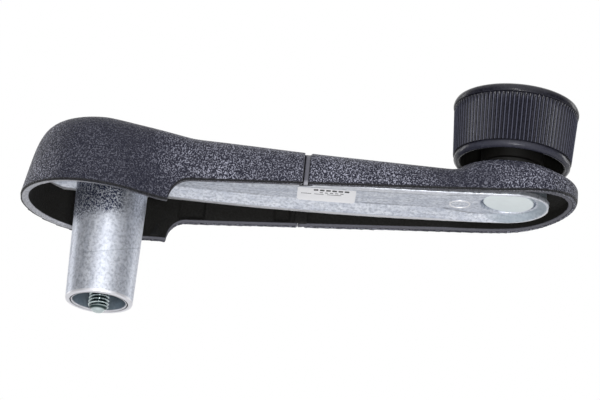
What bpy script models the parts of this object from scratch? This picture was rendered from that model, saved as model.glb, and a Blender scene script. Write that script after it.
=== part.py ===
"""Window crank operator: zinc arm, flip-up plastic cover, captive screw and turning knob.

Sizes are in millimetres and objects are made in metres, +Z up. The hub's axis is
the Z axis, the knob stands on a parallel axis along +X, and the origin is the
centre of the shank's open end.
"""
import math

import bmesh
import bpy
from mathutils import Vector

MM = 0.001
GAP = 0.3                       # clearance between pieces that rest on each other

# Main layout
ARM_LENGTH = 115.0              # hub axis to knob axis
KNOB_AXIS = (ARM_LENGTH, 0.0)
HUB_AXIS = (0.0, 0.0)

# Shank, a tube cast on the arm, that slides over the regulator's spindle
SHANK_SEGMENTS = 36
SHANK_R_END = 9.75
SHANK_R_ROOT = 10.37
SHANK_ROOT_Z = 30.0
MOUTH_R = 7.7
MOUTH_DEPTH = 6.0
SERRATION_R = (6.2, 6.7)
SOCKET_TOP_Z = 26.0
SEAT_Z = 34.3
SCREW_HOLE_R = 3.5
HEAD_POCKET_R = 8.4
HUB_BOSS_R = 12.6
HUB_BOSS_TOP_Z = 46.2

# Cast arm, a shallow channel that is open downwards
BAR_HALF_WIDTH = 12.0
HUB_PLATE_HALF_WIDTH = 13.7     # the channel widens into a plate round the shank
HUB_PLATE_END_X = 16.0
BAR_TIP_X = -19.5
BAR_TIP_R = 17.8                # the tip's outline runs along the cover's round end
BAR_RIM_Z = 38.0
BAR_RISE_FROM_X = 25.0
BAR_RISE = 0.00045              # the underside climbs with the square of the distance
BAR_DEPTH = 4.6
BAR_TOP_MAX_Z = 44.5
CHANNEL_DEPTH = 1.8
CHANNEL_RIM = 1.2
CHANNEL_SLOPE = 3.4
KNOB_BOSS_R = 11.0
KNOB_BOSS_TOP_Z = 50.9

# Plastic cover, a shell in two lengths that meet at the hinge line
HUB_ROUND_X = -3.4
END_ROUND_X = 116.3
WALL = 2.4
RIM_ROUND = 0.25
RIM_BEVEL = 0.35                # the lower edge's face climbs by this much to the inside
FLANK_Z = 38.0                  # level at which the flank widths are given
FLANK_HALF_WIDTH = 18.95
FLANK_TAPER = 0.0035
HUB_EXTRA_WIDTH = 2.3
HUB_LEAN = 0.185                # widening per millimetre below the flank level
SKIRT_LEAN = -0.08
ARM_LEAN = 0.11
END_EXTRA_WIDTH = -0.4
END_LEAN = -0.12
SHELL_BASE_Z = 30.0
SHELL_TOP_HUB = 52.3
SHELL_TOP_ARM = 48.1
SHOULDER_POWER = 5.0            # exponent of the rounded shoulder; higher is squarer
HUB_SHOULDER_POWER = 6.0
END_SHOULDER_POWER = 12.0
SKIRT_Z = 27.8
SKIRT_SLOPE = -0.065
SKIRT_END_X = 16.6
SKIRT_STEP_R = 6.0
ARM_RIM_Z = 33.3
ARM_RIM_SLOPE = 0.0805
END_LIFT_X = 108.0
END_LIFT = 0.0035
ROUND_END_WALL = 0.9            # least height of straight wall on the knob's round end
KNOB_RISE = 2.2                 # the top climbs by this much towards the knob

# Hinge line across the cover
FLAP_END_X = 54.6
LIP_START_X = 54.9
COVER_START_X = 56.6
GROOVE_DEPTH = 0.55
LIP_POINTS = 7                  # profile points that a side lip spans, from the lower edge
HINGE_AXIS = (55.65, 47.3)      # X and Z of the axis, which runs along Y
TONGUE_START_X = 52.6           # side tongues that close the hinge line from the inside
TONGUE_END_X = 57.8
TONGUE_THICKNESS = 1.2
TONGUE_LIFT = 0.35              # tongue's lower end above the cover's lower edge
FILM_HALF_WIDTH = 11.5
FILM_THICKNESS = 0.6

# Round platform on the cover, under the knob
COLLAR_R = 16.2
COLLAR_BASE_Z = 48.9
COLLAR_TOP_Z = 51.1
COLLAR_SEAT_R = 12.7            # shallow seat for the thrust washer
COLLAR_SEAT_Z = 50.7
COVER_HOLE_R = 11.4

# Captive screw, M6 with a hexagonal head
SCREW_R = 3.0
RETAINER_DROP = 3.1             # retainer below the socket's top, clear of it when the screw lifts
THREAD_PITCH = 1.0
THREAD_DEPTH = 0.55
SCREW_TIP_Z = -2.9
THREAD_TOP_Z = 4.1
HEAD_Z = 37.4
HEAD_HEIGHT = 4.0
HEAD_ACROSS_FLATS = 10.0

# Stud and knob
STUD_HEAD_R = 7.38
STUD_HEAD_Z = 43.6
STUD_HEAD_THICKNESS = 1.5
STUD_POCKET_R = 8.2
STUD_R = 4.0
STUD_TOP_Z = 69.4
KNOB_SEGMENTS = 60
KNOB_BOTTOM_R = 17.4
KNOB_TOP_R = 18.25
CROWN_R = 18.5
RIB_BOTTOM_Z = 56.7
RIB_TOP_Z = 71.3
RIB_DEPTH = 0.35
KNOB_TOP_Z = 74.8
BEAD_R = 17.0
BEAD_BOTTOM_Z = 54.9
KNOB_MOUTH_R = 15.1
KNOB_HUB_R = 9.2
CAP_R = 14.6


# ---------------------------------------------------------------- mesh helpers
def clear_scene():
    for obj in list(bpy.data.objects):
        bpy.data.objects.remove(obj, do_unlink=True)


def material(name, colour, roughness, metallic=0.0):
    found = bpy.data.materials.get(name)
    if found:
        return found
    made = bpy.data.materials.new(name)
    made.use_nodes = True
    shader = made.node_tree.nodes["Principled BSDF"]
    shader.inputs["Base Color"].default_value = (*colour, 1.0)
    shader.inputs["Roughness"].default_value = roughness
    shader.inputs["Metallic"].default_value = metallic
    return made


def add_object(name, bm, finish, origin=(0.0, 0.0, 0.0), parent=None):
    """Make an object from a bmesh in millimetres, with its origin at a point in millimetres."""
    face_outwards(bm)
    origin_m = Vector(origin) * MM
    for vert in bm.verts:
        vert.co = vert.co * MM - origin_m
    mesh = bpy.data.meshes.new(name)
    bm.to_mesh(mesh)
    bm.free()
    mesh.shade_smooth()
    mesh.set_sharp_from_angle(angle=math.radians(35.0))
    mesh.materials.append(finish)
    obj = bpy.data.objects.new(name, mesh)
    obj.location = origin_m
    bpy.context.collection.objects.link(obj)
    if parent:
        obj.parent = parent
        obj.location = origin_m - parent.location
    return obj


def face_outwards(bm):
    bmesh.ops.recalc_face_normals(bm, faces=bm.faces)
    if bm.calc_volume(signed=True) < 0.0:
        bmesh.ops.reverse_faces(bm, faces=bm.faces)


def add_pivot(name, origin):
    pivot = bpy.data.objects.new(name, None)
    pivot.empty_display_size = 0.01
    pivot.location = Vector(origin) * MM
    bpy.context.collection.objects.link(pivot)
    bpy.context.view_layer.update()
    return pivot


def as_tool(obj):
    obj.hide_render = True
    obj.display_type = "WIRE"
    return obj


def cut_or_join(target, tool, operation):
    """Apply one exact Boolean and remove its tool."""
    step = target.modifiers.new("step", "BOOLEAN")
    step.operation = operation
    step.solver = "EXACT"
    step.object = tool
    bpy.context.view_layer.update()
    evaluated = target.evaluated_get(bpy.context.evaluated_depsgraph_get())
    mesh = bpy.data.meshes.new_from_object(evaluated)
    mesh.name = target.name
    bm = bmesh.new()
    bm.from_mesh(mesh)
    bmesh.ops.dissolve_degenerate(bm, edges=bm.edges, dist=1e-6)
    face_outwards(bm)
    bm.to_mesh(mesh)
    bm.free()
    target.modifiers.clear()
    target.data = mesh
    bpy.data.objects.remove(tool, do_unlink=True)


def turned(profile, segments, axis=HUB_AXIS, closed=False, radius=None):
    """Turn an (r, z) profile about a vertical axis. Points at r = 0 become one vertex.

    radius(index, k, r) may give another radius for step k of a profile point.
    """
    bm = bmesh.new()
    rings = []
    for index, (r, z) in enumerate(profile):
        if r <= 0.0:
            rings.append([bm.verts.new((axis[0], axis[1], z))])
            continue
        ring = []
        for k in range(segments):
            angle = 2.0 * math.pi * k / segments
            reach = radius(index, k, r) if radius else r
            point = (axis[0] + reach * math.cos(angle), axis[1] + reach * math.sin(angle), z)
            ring.append(bm.verts.new(point))
        rings.append(ring)
    pairs = list(zip(rings, rings[1:]))
    if closed:
        pairs.append((rings[-1], rings[0]))
    for low, high in pairs:
        join_rings(bm, low, high)
    return bm


def join_rings(bm, low, high):
    count = max(len(low), len(high))
    for k in range(count):
        n = (k + 1) % count
        if len(low) == 1:
            bm.faces.new((low[0], high[n], high[k]))
        elif len(high) == 1:
            bm.faces.new((low[k], low[n], high[0]))
        else:
            bm.faces.new((low[k], low[n], high[n], high[k]))


def washer(z, thickness, inner, outer, axis, segments=32, wave=0.0, waves=3):
    """Flat ring, or a wave washer when it has a wave height."""
    profile = [(inner, z), (outer, z), (outer, z + thickness), (inner, z + thickness)]
    bm = turned(profile, segments, axis, closed=True)
    for vert in bm.verts:
        angle = math.atan2(vert.co.y - axis[1], vert.co.x - axis[0])
        vert.co.z += wave * math.cos(waves * angle)
    return bm


def cylinder(r, z_low, z_high, axis, segments):
    return turned([(0, z_low), (r, z_low), (r, z_high), (0, z_high)], segments, axis)


def smooth_step(x, start, end):
    t = min(1.0, max(0.0, (x - start) / (end - start)))
    return t * t * (3.0 - 2.0 * t)


# ------------------------------------------------------------------ cover shell
def rim_z(x):
    """Height of the cover's lower edge: a deep skirt round the hub, then the arm's edge."""
    if x <= SKIRT_END_X:
        return SKIRT_Z + SKIRT_SLOPE * x
    skirt_end = SKIRT_Z + SKIRT_SLOPE * SKIRT_END_X
    arm = ARM_RIM_Z + ARM_RIM_SLOPE * (x - SKIRT_END_X - SKIRT_STEP_R)
    if x < SKIRT_END_X + SKIRT_STEP_R:
        along = (SKIRT_END_X + SKIRT_STEP_R - x) / SKIRT_STEP_R
        return skirt_end + (ARM_RIM_Z - skirt_end) * math.sqrt(max(0.0, 1.0 - along * along))
    return arm + END_LIFT * max(0.0, x - END_LIFT_X) ** 2


def flank(x, z):
    """Half width of the cover's outside at a height, without the rounded shoulder."""
    hub = 1.0 - smooth_step(x, -8.0, 20.0)
    end = smooth_step(x, 97.0, 112.0)
    at_level = FLANK_HALF_WIDTH - FLANK_TAPER * (x - 24.0) + HUB_EXTRA_WIDTH * hub + END_EXTRA_WIDTH * end
    lean = HUB_LEAN * (1.0 - smooth_step(x, 0.0, SKIRT_END_X))
    lean += SKIRT_LEAN * smooth_step(x, 4.0, SKIRT_END_X)
    lean += ARM_LEAN * smooth_step(x, 17.0, 24.0) + END_LEAN * end
    return at_level + lean * (FLANK_Z - z)


def shoulder_power(x):
    hub = (HUB_SHOULDER_POWER - SHOULDER_POWER) * (1.0 - smooth_step(x, -3.4, 20.0))
    end = (END_SHOULDER_POWER - SHOULDER_POWER) * smooth_step(x, 97.0, 112.0)
    return SHOULDER_POWER + hub + end


def shell_top(x):
    """Height of the cover's middle line, highest over the hub and raised again at the knob."""
    hub = 1.0 - smooth_step(x, -5.0, 25.0)
    tail = 0.6 * (1.0 - smooth_step(x, 22.0, 66.0))
    rise = KNOB_RISE * smooth_step(x, 97.0, 107.0)
    return SHELL_TOP_ARM + (SHELL_TOP_HUB - SHELL_TOP_ARM - 0.6) * hub + tail + rise


def shell_profile(x, inset, low=None):
    """Points (r, z) from the lower edge to the middle line, at an inset from the outside.

    A lower edge given as low replaces the one at x, and the wall above it is moved to suit.
    """
    own_low = rim_z(x)
    if low is None:
        low = own_low
    top = shell_top(x) - inset
    height = top - SHELL_BASE_Z
    shoulder = SHELL_BASE_Z + 0.72 * height
    raised = max(shoulder, low + ROUND_END_WALL)
    exponent = shoulder_power(x)
    points = []
    for share in (0.0, 0.12, 0.5, 1.0):
        z = own_low + share * (shoulder - own_low)
        up = max(0.0, (z - SHELL_BASE_Z) / height)
        r = flank(x, z) * (1.0 - up ** exponent) ** (1.0 / exponent) - inset
        points.append((r, low + share * (raised - low)))
    power = 2.0 / exponent
    for degrees in (40.0, 55.0, 68.0, 79.0, 90.0):
        angle = math.radians(degrees)
        z = SHELL_BASE_Z + height * math.sin(angle) ** power
        r = (flank(x, z) - inset) * max(0.0, math.cos(angle)) ** power
        share = (z - shoulder) / (top - shoulder)
        points.append((r if degrees < 90.0 else 0.0, raised + share * (top - raised)))
    return points


def side_station(x, side):
    return x, (0.0, side)


def round_station(centre_x, degrees):
    angle = math.radians(degrees)
    return centre_x, (math.cos(angle), math.sin(angle))


def station_points(station, inset):
    """Profile of one station. On a round end each point follows the lower edge below it."""
    centre_x, direction = station
    points = []
    for index, (r, z) in enumerate(shell_profile(centre_x, inset)):
        if direction[0]:
            low = rim_z(centre_x + r * direction[0])
            z = shell_profile(centre_x, inset, low)[index][1]
        if index == 0:
            r -= 0.0 if inset else RIM_ROUND
            z += RIM_BEVEL if inset else 0.0
        points.append((centre_x + r * direction[0], r * direction[1], z))
    return points


def shell_solid(stations):
    """Closed shell through its stations, with the two ends capped."""
    bm = bmesh.new()
    outer = [[bm.verts.new(p) for p in station_points(s, 0.0)] for s in stations]
    inner = [[bm.verts.new(p) for p in station_points(s, WALL)] for s in stations]
    for j in range(len(stations) - 1):
        for grid in (outer, inner):
            for i in range(len(outer[0]) - 1):
                bm.faces.new((grid[j][i], grid[j + 1][i], grid[j + 1][i + 1], grid[j][i + 1]))
        bm.faces.new((outer[j][0], outer[j + 1][0], inner[j + 1][0], inner[j][0]))
    for j in (0, len(stations) - 1):
        for i in range(len(outer[0]) - 1):
            bm.faces.new((outer[j][i], outer[j][i + 1], inner[j][i + 1], inner[j][i]))
    bmesh.ops.remove_doubles(bm, verts=bm.verts, dist=0.0005)
    return bm


def step_stations():
    """Positions along the skirt's rounded step, evenly round its arc."""
    steps = 5
    turns = [math.radians(90.0 * k / steps) for k in range(steps + 1)]
    return [SKIRT_END_X + SKIRT_STEP_R * (1.0 - math.cos(turn)) for turn in turns]


def screw_cover(finish, pivot):
    """Hub length of the cover, which flips up to reach the screw."""
    along = [HUB_ROUND_X, 3.0, 9.0, 13.5] + step_stations() + [32.0, 43.0, FLAP_END_X]
    near = [side_station(x, -1.0) for x in reversed(along)]
    far = [side_station(x, 1.0) for x in along]
    turn = [round_station(HUB_ROUND_X, 270.0 - 180.0 * k / 14) for k in range(1, 14)]
    bm = shell_solid(near + turn + far)
    return add_object("screw_cover", bm, finish, pivot_point(), pivot)


def arm_cover(finish):
    """Knob length of the cover, with side lips under the hinge line and the knob's collar."""
    along = [COVER_START_X, 70.0, 84.0, 98.0, 107.0, END_ROUND_X]
    far = [side_station(x, 1.0) for x in along]
    near = [side_station(x, -1.0) for x in reversed(along)]
    turn = [round_station(END_ROUND_X, 90.0 - 180.0 * k / 14) for k in range(1, 14)]
    cover = add_object("arm_cover", shell_solid(far + turn + near), finish)
    for side in (-1.0, 1.0):
        for piece in (lip_solid(side), tongue_solid(side)):
            cut_or_join(cover, as_tool(add_object("piece", piece, finish)), "UNION")
    disc = [(0.0, COLLAR_BASE_Z), (10.0, COLLAR_BASE_Z), (COLLAR_R, COLLAR_BASE_Z - 2.0),
            (COLLAR_R + 0.2, COLLAR_BASE_Z), (COLLAR_R, COLLAR_TOP_Z - 0.6),
            (COLLAR_R - 0.6, COLLAR_TOP_Z), (COLLAR_SEAT_R + 0.3, COLLAR_TOP_Z),
            (COLLAR_SEAT_R, COLLAR_SEAT_Z), (0.0, COLLAR_SEAT_Z)]
    collar = as_tool(add_object("collar", turned(disc, 48, KNOB_AXIS), finish))
    cut_or_join(cover, collar, "UNION")
    hole = as_tool(add_object("hole", cylinder(COVER_HOLE_R, 40.0, 55.0, KNOB_AXIS, 32), finish))
    cut_or_join(cover, hole, "DIFFERENCE")
    return cover


def below_surface(profile, depth):
    """The profile moved inwards along its own normals."""
    moved = []
    last = len(profile) - 1
    for i, (r, z) in enumerate(profile):
        before, after = profile[max(0, i - 1)], profile[min(last, i + 1)]
        run, climb = after[0] - before[0], after[1] - before[1]
        length = math.hypot(run, climb)
        moved.append((r - depth * climb / length, z + depth * run / length))
    return moved


def lip_solid(side):
    """Recessed side lip of the hinge line, from the lower edge to the shoulder."""
    bm = bmesh.new()
    rows = []
    for x in (LIP_START_X, COVER_START_X + 0.7):
        outside = shell_profile(x, 0.0)[:LIP_POINTS]
        outside[0] = (outside[0][0] + RIM_ROUND, outside[0][1] + GROOVE_DEPTH)
        for depth in (GROOVE_DEPTH, WALL - 0.5):
            rows.append([bm.verts.new((x, side * r, z)) for r, z in below_surface(outside, depth)])
    first_out, first_in, last_out, last_in = rows
    count = len(first_out)
    for i in range(count - 1):
        bm.faces.new((first_out[i], last_out[i], last_out[i + 1], first_out[i + 1]))
        bm.faces.new((first_in[i], last_in[i], last_in[i + 1], first_in[i + 1]))
        bm.faces.new((first_out[i], first_out[i + 1], first_in[i + 1], first_in[i]))
        bm.faces.new((last_out[i], last_out[i + 1], last_in[i + 1], last_in[i]))
    for i in (0, count - 1):
        bm.faces.new((first_out[i], last_out[i], last_in[i], first_in[i]))
    return bm


def tongue_solid(side):
    """Tongue that reaches from the knob length behind the hub length's wall, across the hinge line."""
    behind = WALL + 2.0 * GAP
    joined = WALL - 0.9
    bm = bmesh.new()
    loops = []
    for x, depth in ((TONGUE_START_X, behind), (LIP_START_X, behind), (LIP_START_X + 1.0, joined),
                     (TONGUE_END_X, joined)):
        low = rim_z(x) + TONGUE_LIFT
        high = shell_profile(x, behind)[3][1]
        loop = []
        for z, inset in ((low, depth), (high, depth), (high, behind + TONGUE_THICKNESS),
                         (low, behind + TONGUE_THICKNESS)):
            loop.append((x, side * (wall_half_width(x, z) - inset), z))
        loops.append([bm.verts.new(p) for p in loop])
    for low_loop, high_loop in zip(loops, loops[1:]):
        join_rings(bm, low_loop, high_loop)
    for loop in (loops[0], loops[-1]):
        bm.faces.new(loop)
    return bm


def wall_half_width(x, z):
    """Half width of the cover's outside at a height, with the rounded shoulder."""
    up = max(0.0, (z - SHELL_BASE_Z) / (shell_top(x) - SHELL_BASE_Z))
    exponent = shoulder_power(x)
    return flank(x, z) * (1.0 - up ** exponent) ** (1.0 / exponent)


def pivot_point():
    return HINGE_AXIS[0], 0.0, HINGE_AXIS[1]


def hinge_film(finish):
    """Thin strip of the cover that bends when the hub length flips up."""
    low = HINGE_AXIS[1] - FILM_THICKNESS / 2.0
    return add_box("hinge_film", finish, (LIP_START_X, -FILM_HALF_WIDTH, low),
                   (COVER_START_X - GAP, FILM_HALF_WIDTH, low + FILM_THICKNESS))


def add_box(name, finish, low, high):
    bm = bmesh.new()
    bmesh.ops.create_cube(bm, size=1.0)
    for vert in bm.verts:
        vert.co = Vector((low[k] + (vert.co[k] + 0.5) * (high[k] - low[k]) for k in range(3)))
    return add_object(name, bm, finish)


# ---------------------------------------------------------------- zinc casting
def bar_rim_z(x):
    return BAR_RIM_Z + BAR_RISE * max(0.0, x - BAR_RISE_FROM_X) ** 2


def bar_top_z(x):
    return min(bar_rim_z(x) + BAR_DEPTH, BAR_TOP_MAX_Z)


def bar_half_width(x):
    """Plan outline of the arm: a plate round the shank, then the arm and its round knob end."""
    if x > ARM_LENGTH:
        return math.sqrt(max(0.0, BAR_HALF_WIDTH ** 2 - (x - ARM_LENGTH) ** 2))
    plate = 1.0 - smooth_step(x, 0.0, HUB_PLATE_END_X)
    half = BAR_HALF_WIDTH + (HUB_PLATE_HALF_WIDTH - BAR_HALF_WIDTH) * plate
    if x < HUB_ROUND_X:
        half = min(half, math.sqrt(BAR_TIP_R ** 2 - (x - HUB_ROUND_X) ** 2))
    return half


def bar_stations():
    tip = [BAR_TIP_X, -18.4, -17.0, -15.4, -13.0, -6.0]
    middle = [0.0, 5.0, 10.0, HUB_PLATE_END_X, 30.0, 45.0, 60.0, 75.0, 88.0, 102.0]
    end = [ARM_LENGTH + BAR_HALF_WIDTH * math.sin(math.radians(a)) for a in (0, 18, 36, 52, 66, 78)]
    return tip + middle + end


def bar_section(x):
    """Half section from the middle of the channel, round the outside, to the middle of the top."""
    half = bar_half_width(x)
    rim = bar_rim_z(x)
    top = bar_top_z(x)
    floor = rim + CHANNEL_DEPTH * smooth_step(half, 3.0, 9.0)
    inner = max(0.3 * half, half - CHANNEL_RIM)
    flat = max(0.15 * half, inner - CHANNEL_SLOPE)
    return [(0.0, floor), (flat, floor), (inner, rim), (half, rim + 0.2),
            (half - 0.2, rim + 2.0), (half - 0.5, top - 0.8), (half - 1.5, top), (0.0, top)]


def bar_solid():
    bm = bmesh.new()
    loops = []
    for x in bar_stations():
        section = bar_section(x)
        near = [(x, -y, z) for y, z in section]
        far = [(x, y, z) for y, z in reversed(section[1:-1])]
        loops.append([bm.verts.new(p) for p in near + far])
    for low, high in zip(loops, loops[1:]):
        join_rings(bm, low, high)
    for loop in (loops[0], loops[-1]):
        bm.faces.new(loop)
    return bm


def shank_and_hub():
    """Turned part of the casting: shank, serrated socket, screw seat and head pocket."""
    outside = [(SHANK_R_END - 0.35, 0.0), (SHANK_R_END, 0.35), (SHANK_R_ROOT, SHANK_ROOT_Z),
               (SHANK_R_ROOT + 0.1, BAR_RIM_Z - 1.5), (SHANK_R_ROOT + 1.3, BAR_RIM_Z + 0.9),
               (HUB_BOSS_R, BAR_RIM_Z + 2.6), (HUB_BOSS_R, HUB_BOSS_TOP_Z - 0.8),
               (HUB_BOSS_R - 0.8, HUB_BOSS_TOP_Z)]
    inside = [(HEAD_POCKET_R, HUB_BOSS_TOP_Z), (HEAD_POCKET_R, SEAT_Z), (SCREW_HOLE_R, SEAT_Z),
              (SCREW_HOLE_R, SOCKET_TOP_Z), (SERRATION_R[1], SOCKET_TOP_Z),
              (SERRATION_R[1], MOUTH_DEPTH), (MOUTH_R, MOUTH_DEPTH), (MOUTH_R, 0.4),
              (MOUTH_R + 0.4, 0.0)]
    serrated = (len(outside) + 4, len(outside) + 5)

    def reach(index, k, r):
        return SERRATION_R[k % 2] if index in serrated else r

    return turned(outside + inside, SHANK_SEGMENTS, closed=True, radius=reach)


def arm_casting(finish):
    casting = add_object("arm_casting", bar_solid(), finish)
    bore = cylinder(HUB_BOSS_R - 1.5, 20.0, 60.0, HUB_AXIS, SHANK_SEGMENTS)
    cut_or_join(casting, as_tool(add_object("bore", bore, finish)), "DIFFERENCE")
    cut_or_join(casting, as_tool(add_object("hub", shank_and_hub(), finish)), "UNION")
    boss_base = BAR_TOP_MAX_Z - 0.5
    boss = [(0.0, boss_base), (KNOB_BOSS_R, boss_base), (KNOB_BOSS_R, KNOB_BOSS_TOP_Z - 0.5),
            (KNOB_BOSS_R - 0.5, KNOB_BOSS_TOP_Z), (0.0, KNOB_BOSS_TOP_Z)]
    cut_or_join(casting, as_tool(add_object("boss", turned(boss, 32, KNOB_AXIS), finish)), "UNION")
    pocket_top = STUD_HEAD_Z + STUD_HEAD_THICKNESS + GAP
    pocket = [(0.0, 40.0), (STUD_POCKET_R, 40.0), (STUD_POCKET_R, pocket_top),
              (STUD_R + GAP, pocket_top), (STUD_R + GAP, 52.0), (0.0, 52.0)]
    cut_or_join(casting, as_tool(add_object("pocket", turned(pocket, 32, KNOB_AXIS), finish)),
                "DIFFERENCE")
    return casting


# --------------------------------------------------------------- captive screw
def mounting_screw(finish, pivot):
    """M6 screw: hexagonal head, plain shank and a ringed thread with a chamfered tip."""
    root = SCREW_R - THREAD_DEPTH
    profile = [(0.0, SCREW_TIP_Z), (2.2, SCREW_TIP_Z), (root, SCREW_TIP_Z + 0.4)]
    crests = int((THREAD_TOP_Z - SCREW_TIP_Z - 0.8) / THREAD_PITCH)
    for k in range(crests):
        z = SCREW_TIP_Z + 0.9 + THREAD_PITCH * k
        profile += [(SCREW_R, z - 0.06), (SCREW_R, z + 0.06), (root, z + 0.5 * THREAD_PITCH)]
    profile += [(root, THREAD_TOP_Z), (SCREW_R, THREAD_TOP_Z + 0.5), (SCREW_R, HEAD_Z)]
    hexagon = len(profile)
    corner = HEAD_ACROSS_FLATS / math.sqrt(3.0)
    top = HEAD_Z + HEAD_HEIGHT
    profile += [(corner, HEAD_Z), (corner, top - 0.5), (corner - 0.8, top), (0.0, top)]

    def reach(index, k, r):
        if index not in (hexagon, hexagon + 1):
            return r
        turn = math.radians((k * 360.0 / 24) % 60.0 - 30.0)
        return min(r, HEAD_ACROSS_FLATS / 2.0 / math.cos(turn))

    bm = turned(profile, 24, radius=reach)
    return add_object("mounting_screw", bm, finish, (0.0, 0.0, HEAD_Z), pivot)


def lock_washer(finish, pivot):
    """Split spring washer, open at one side."""
    z = HEAD_Z - GAP - 1.3
    bm = bmesh.new()
    loops = []
    steps = 24
    for k in range(steps + 1):
        angle = math.radians(6.0 + 348.0 * k / steps)
        rise = 0.25 * (k / steps - 0.5)
        corners = ((3.4, 0.0), (5.3, 0.0), (5.3, 1.1), (3.4, 1.1))
        loops.append([bm.verts.new((r * math.cos(angle), r * math.sin(angle), z + h + rise))
                      for r, h in corners])
    for low, high in zip(loops, loops[1:]):
        join_rings(bm, low, high)
    bm.faces.new(loops[0])
    bm.faces.new(loops[-1])
    return add_object("screw_lock_washer", bm, finish, (0.0, 0.0, z), pivot)


# ------------------------------------------------------------------------ knob
def knob_body(finish, pivot):
    """Ribbed grip with a smooth bead round its mouth and a tube for the bushing."""
    outside = [(KNOB_HUB_R, 55.1), (KNOB_HUB_R, 68.5), (13.5, 69.3), (KNOB_MOUTH_R - 0.2, 66.0),
               (KNOB_MOUTH_R, 56.0), (KNOB_MOUTH_R + 0.5, BEAD_BOTTOM_Z + 0.2),
               (BEAD_R - 0.6, BEAD_BOTTOM_Z), (BEAD_R, BEAD_BOTTOM_Z + 0.9),
               (BEAD_R - 0.1, RIB_BOTTOM_Z)]
    ribs = [(KNOB_BOTTOM_R, RIB_BOTTOM_Z), (KNOB_TOP_R, RIB_TOP_Z)]
    crown = [(CROWN_R, RIB_TOP_Z + 0.3), (CROWN_R, RIB_TOP_Z + 1.2), (CROWN_R - 0.5, RIB_TOP_Z + 2.4),
             (CROWN_R - 1.4, KNOB_TOP_Z - 0.3), (CROWN_R - 2.7, KNOB_TOP_Z),
             (CAP_R + GAP, KNOB_TOP_Z - 0.3), (CAP_R + GAP, 72.4), (10.0, 72.4), (10.0, 66.2),
             (5.6, 66.2), (5.6, 55.1)]
    start = len(outside)

    def reach(index, k, r):
        return r - RIB_DEPTH * (k % 2) if index in (start, start + 1) else r

    bm = turned(outside + ribs + crown, KNOB_SEGMENTS, KNOB_AXIS, closed=True, radius=reach)
    return add_object("knob_body", bm, finish, (*KNOB_AXIS, RIB_BOTTOM_Z), pivot)


def knob_cap(finish, pivot):
    """Smooth, slightly dished cap that plugs the knob's top."""
    profile = [(0.0, 70.6), (9.0, 70.6), (9.5, 71.2), (9.5, 72.7), (CAP_R - 0.3, 72.7),
               (CAP_R, 73.0), (CAP_R, KNOB_TOP_Z - 0.5), (CAP_R - 0.6, KNOB_TOP_Z),
               (CAP_R - 3.0, KNOB_TOP_Z - 0.1), (6.0, KNOB_TOP_Z - 0.8), (0.0, KNOB_TOP_Z - 1.0)]
    return add_object("knob_cap", turned(profile, 40, KNOB_AXIS), finish, (*KNOB_AXIS, 72.7), pivot)


def knob_bushing(finish, pivot):
    inner = STUD_R + GAP
    profile = [(inner, 53.8), (8.6, 53.8), (8.6, 54.8), (5.3, 54.8), (5.3, 65.9), (inner, 65.9)]
    bm = turned(profile, 32, KNOB_AXIS, closed=True)
    return add_object("knob_bushing", bm, finish, (*KNOB_AXIS, 53.8), pivot)


def knob_stud(finish):
    """Headed stud: the wide head sits in the arm's pocket and the knob turns on its shank."""
    head_top = STUD_HEAD_Z + STUD_HEAD_THICKNESS
    groove = 67.5
    profile = [(0.0, STUD_HEAD_Z), (STUD_HEAD_R - 0.3, STUD_HEAD_Z), (STUD_HEAD_R, STUD_HEAD_Z + 0.3),
               (STUD_HEAD_R, head_top), (STUD_R, head_top), (STUD_R, groove),
               (STUD_R - 0.6, groove), (STUD_R - 0.6, groove + 1.1), (STUD_R, groove + 1.1),
               (STUD_R, STUD_TOP_Z - 0.4), (STUD_R - 0.4, STUD_TOP_Z), (0.0, STUD_TOP_Z)]
    return add_object("knob_stud", turned(profile, 32, KNOB_AXIS), finish)


def retaining_ring(finish):
    """Open snap ring in the stud's groove."""
    bm = bmesh.new()
    loops = []
    steps = 20
    for k in range(steps + 1):
        angle = math.radians(35.0 + 290.0 * k / steps)
        corners = ((STUD_R - 0.3, 67.7), (STUD_R + 2.2, 67.7), (STUD_R + 2.2, 68.4),
                   (STUD_R - 0.3, 68.4))
        loops.append([bm.verts.new((ARM_LENGTH + r * math.cos(angle), r * math.sin(angle), z))
                      for r, z in corners])
    for low, high in zip(loops, loops[1:]):
        join_rings(bm, low, high)
    bm.faces.new(loops[0])
    bm.faces.new(loops[-1])
    return add_object("knob_retaining_ring", bm, finish)


def part_label(finish):
    """Blank paper label on the channel's floor."""
    bm = bmesh.new()
    loops = []
    for x in (53.5, 58.0, 62.5, 66.5, 70.5):
        floor = bar_rim_z(x) + CHANNEL_DEPTH - GAP
        loops.append([bm.verts.new(p) for p in ((x, -6.2, floor), (x, 6.2, floor),
                                                (x, 6.2, floor - 0.15), (x, -6.2, floor - 0.15))])
    for low, high in zip(loops, loops[1:]):
        join_rings(bm, low, high)
    bm.faces.new(loops[0])
    bm.faces.new(loops[-1])
    return add_object("part_label", bm, finish)


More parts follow.
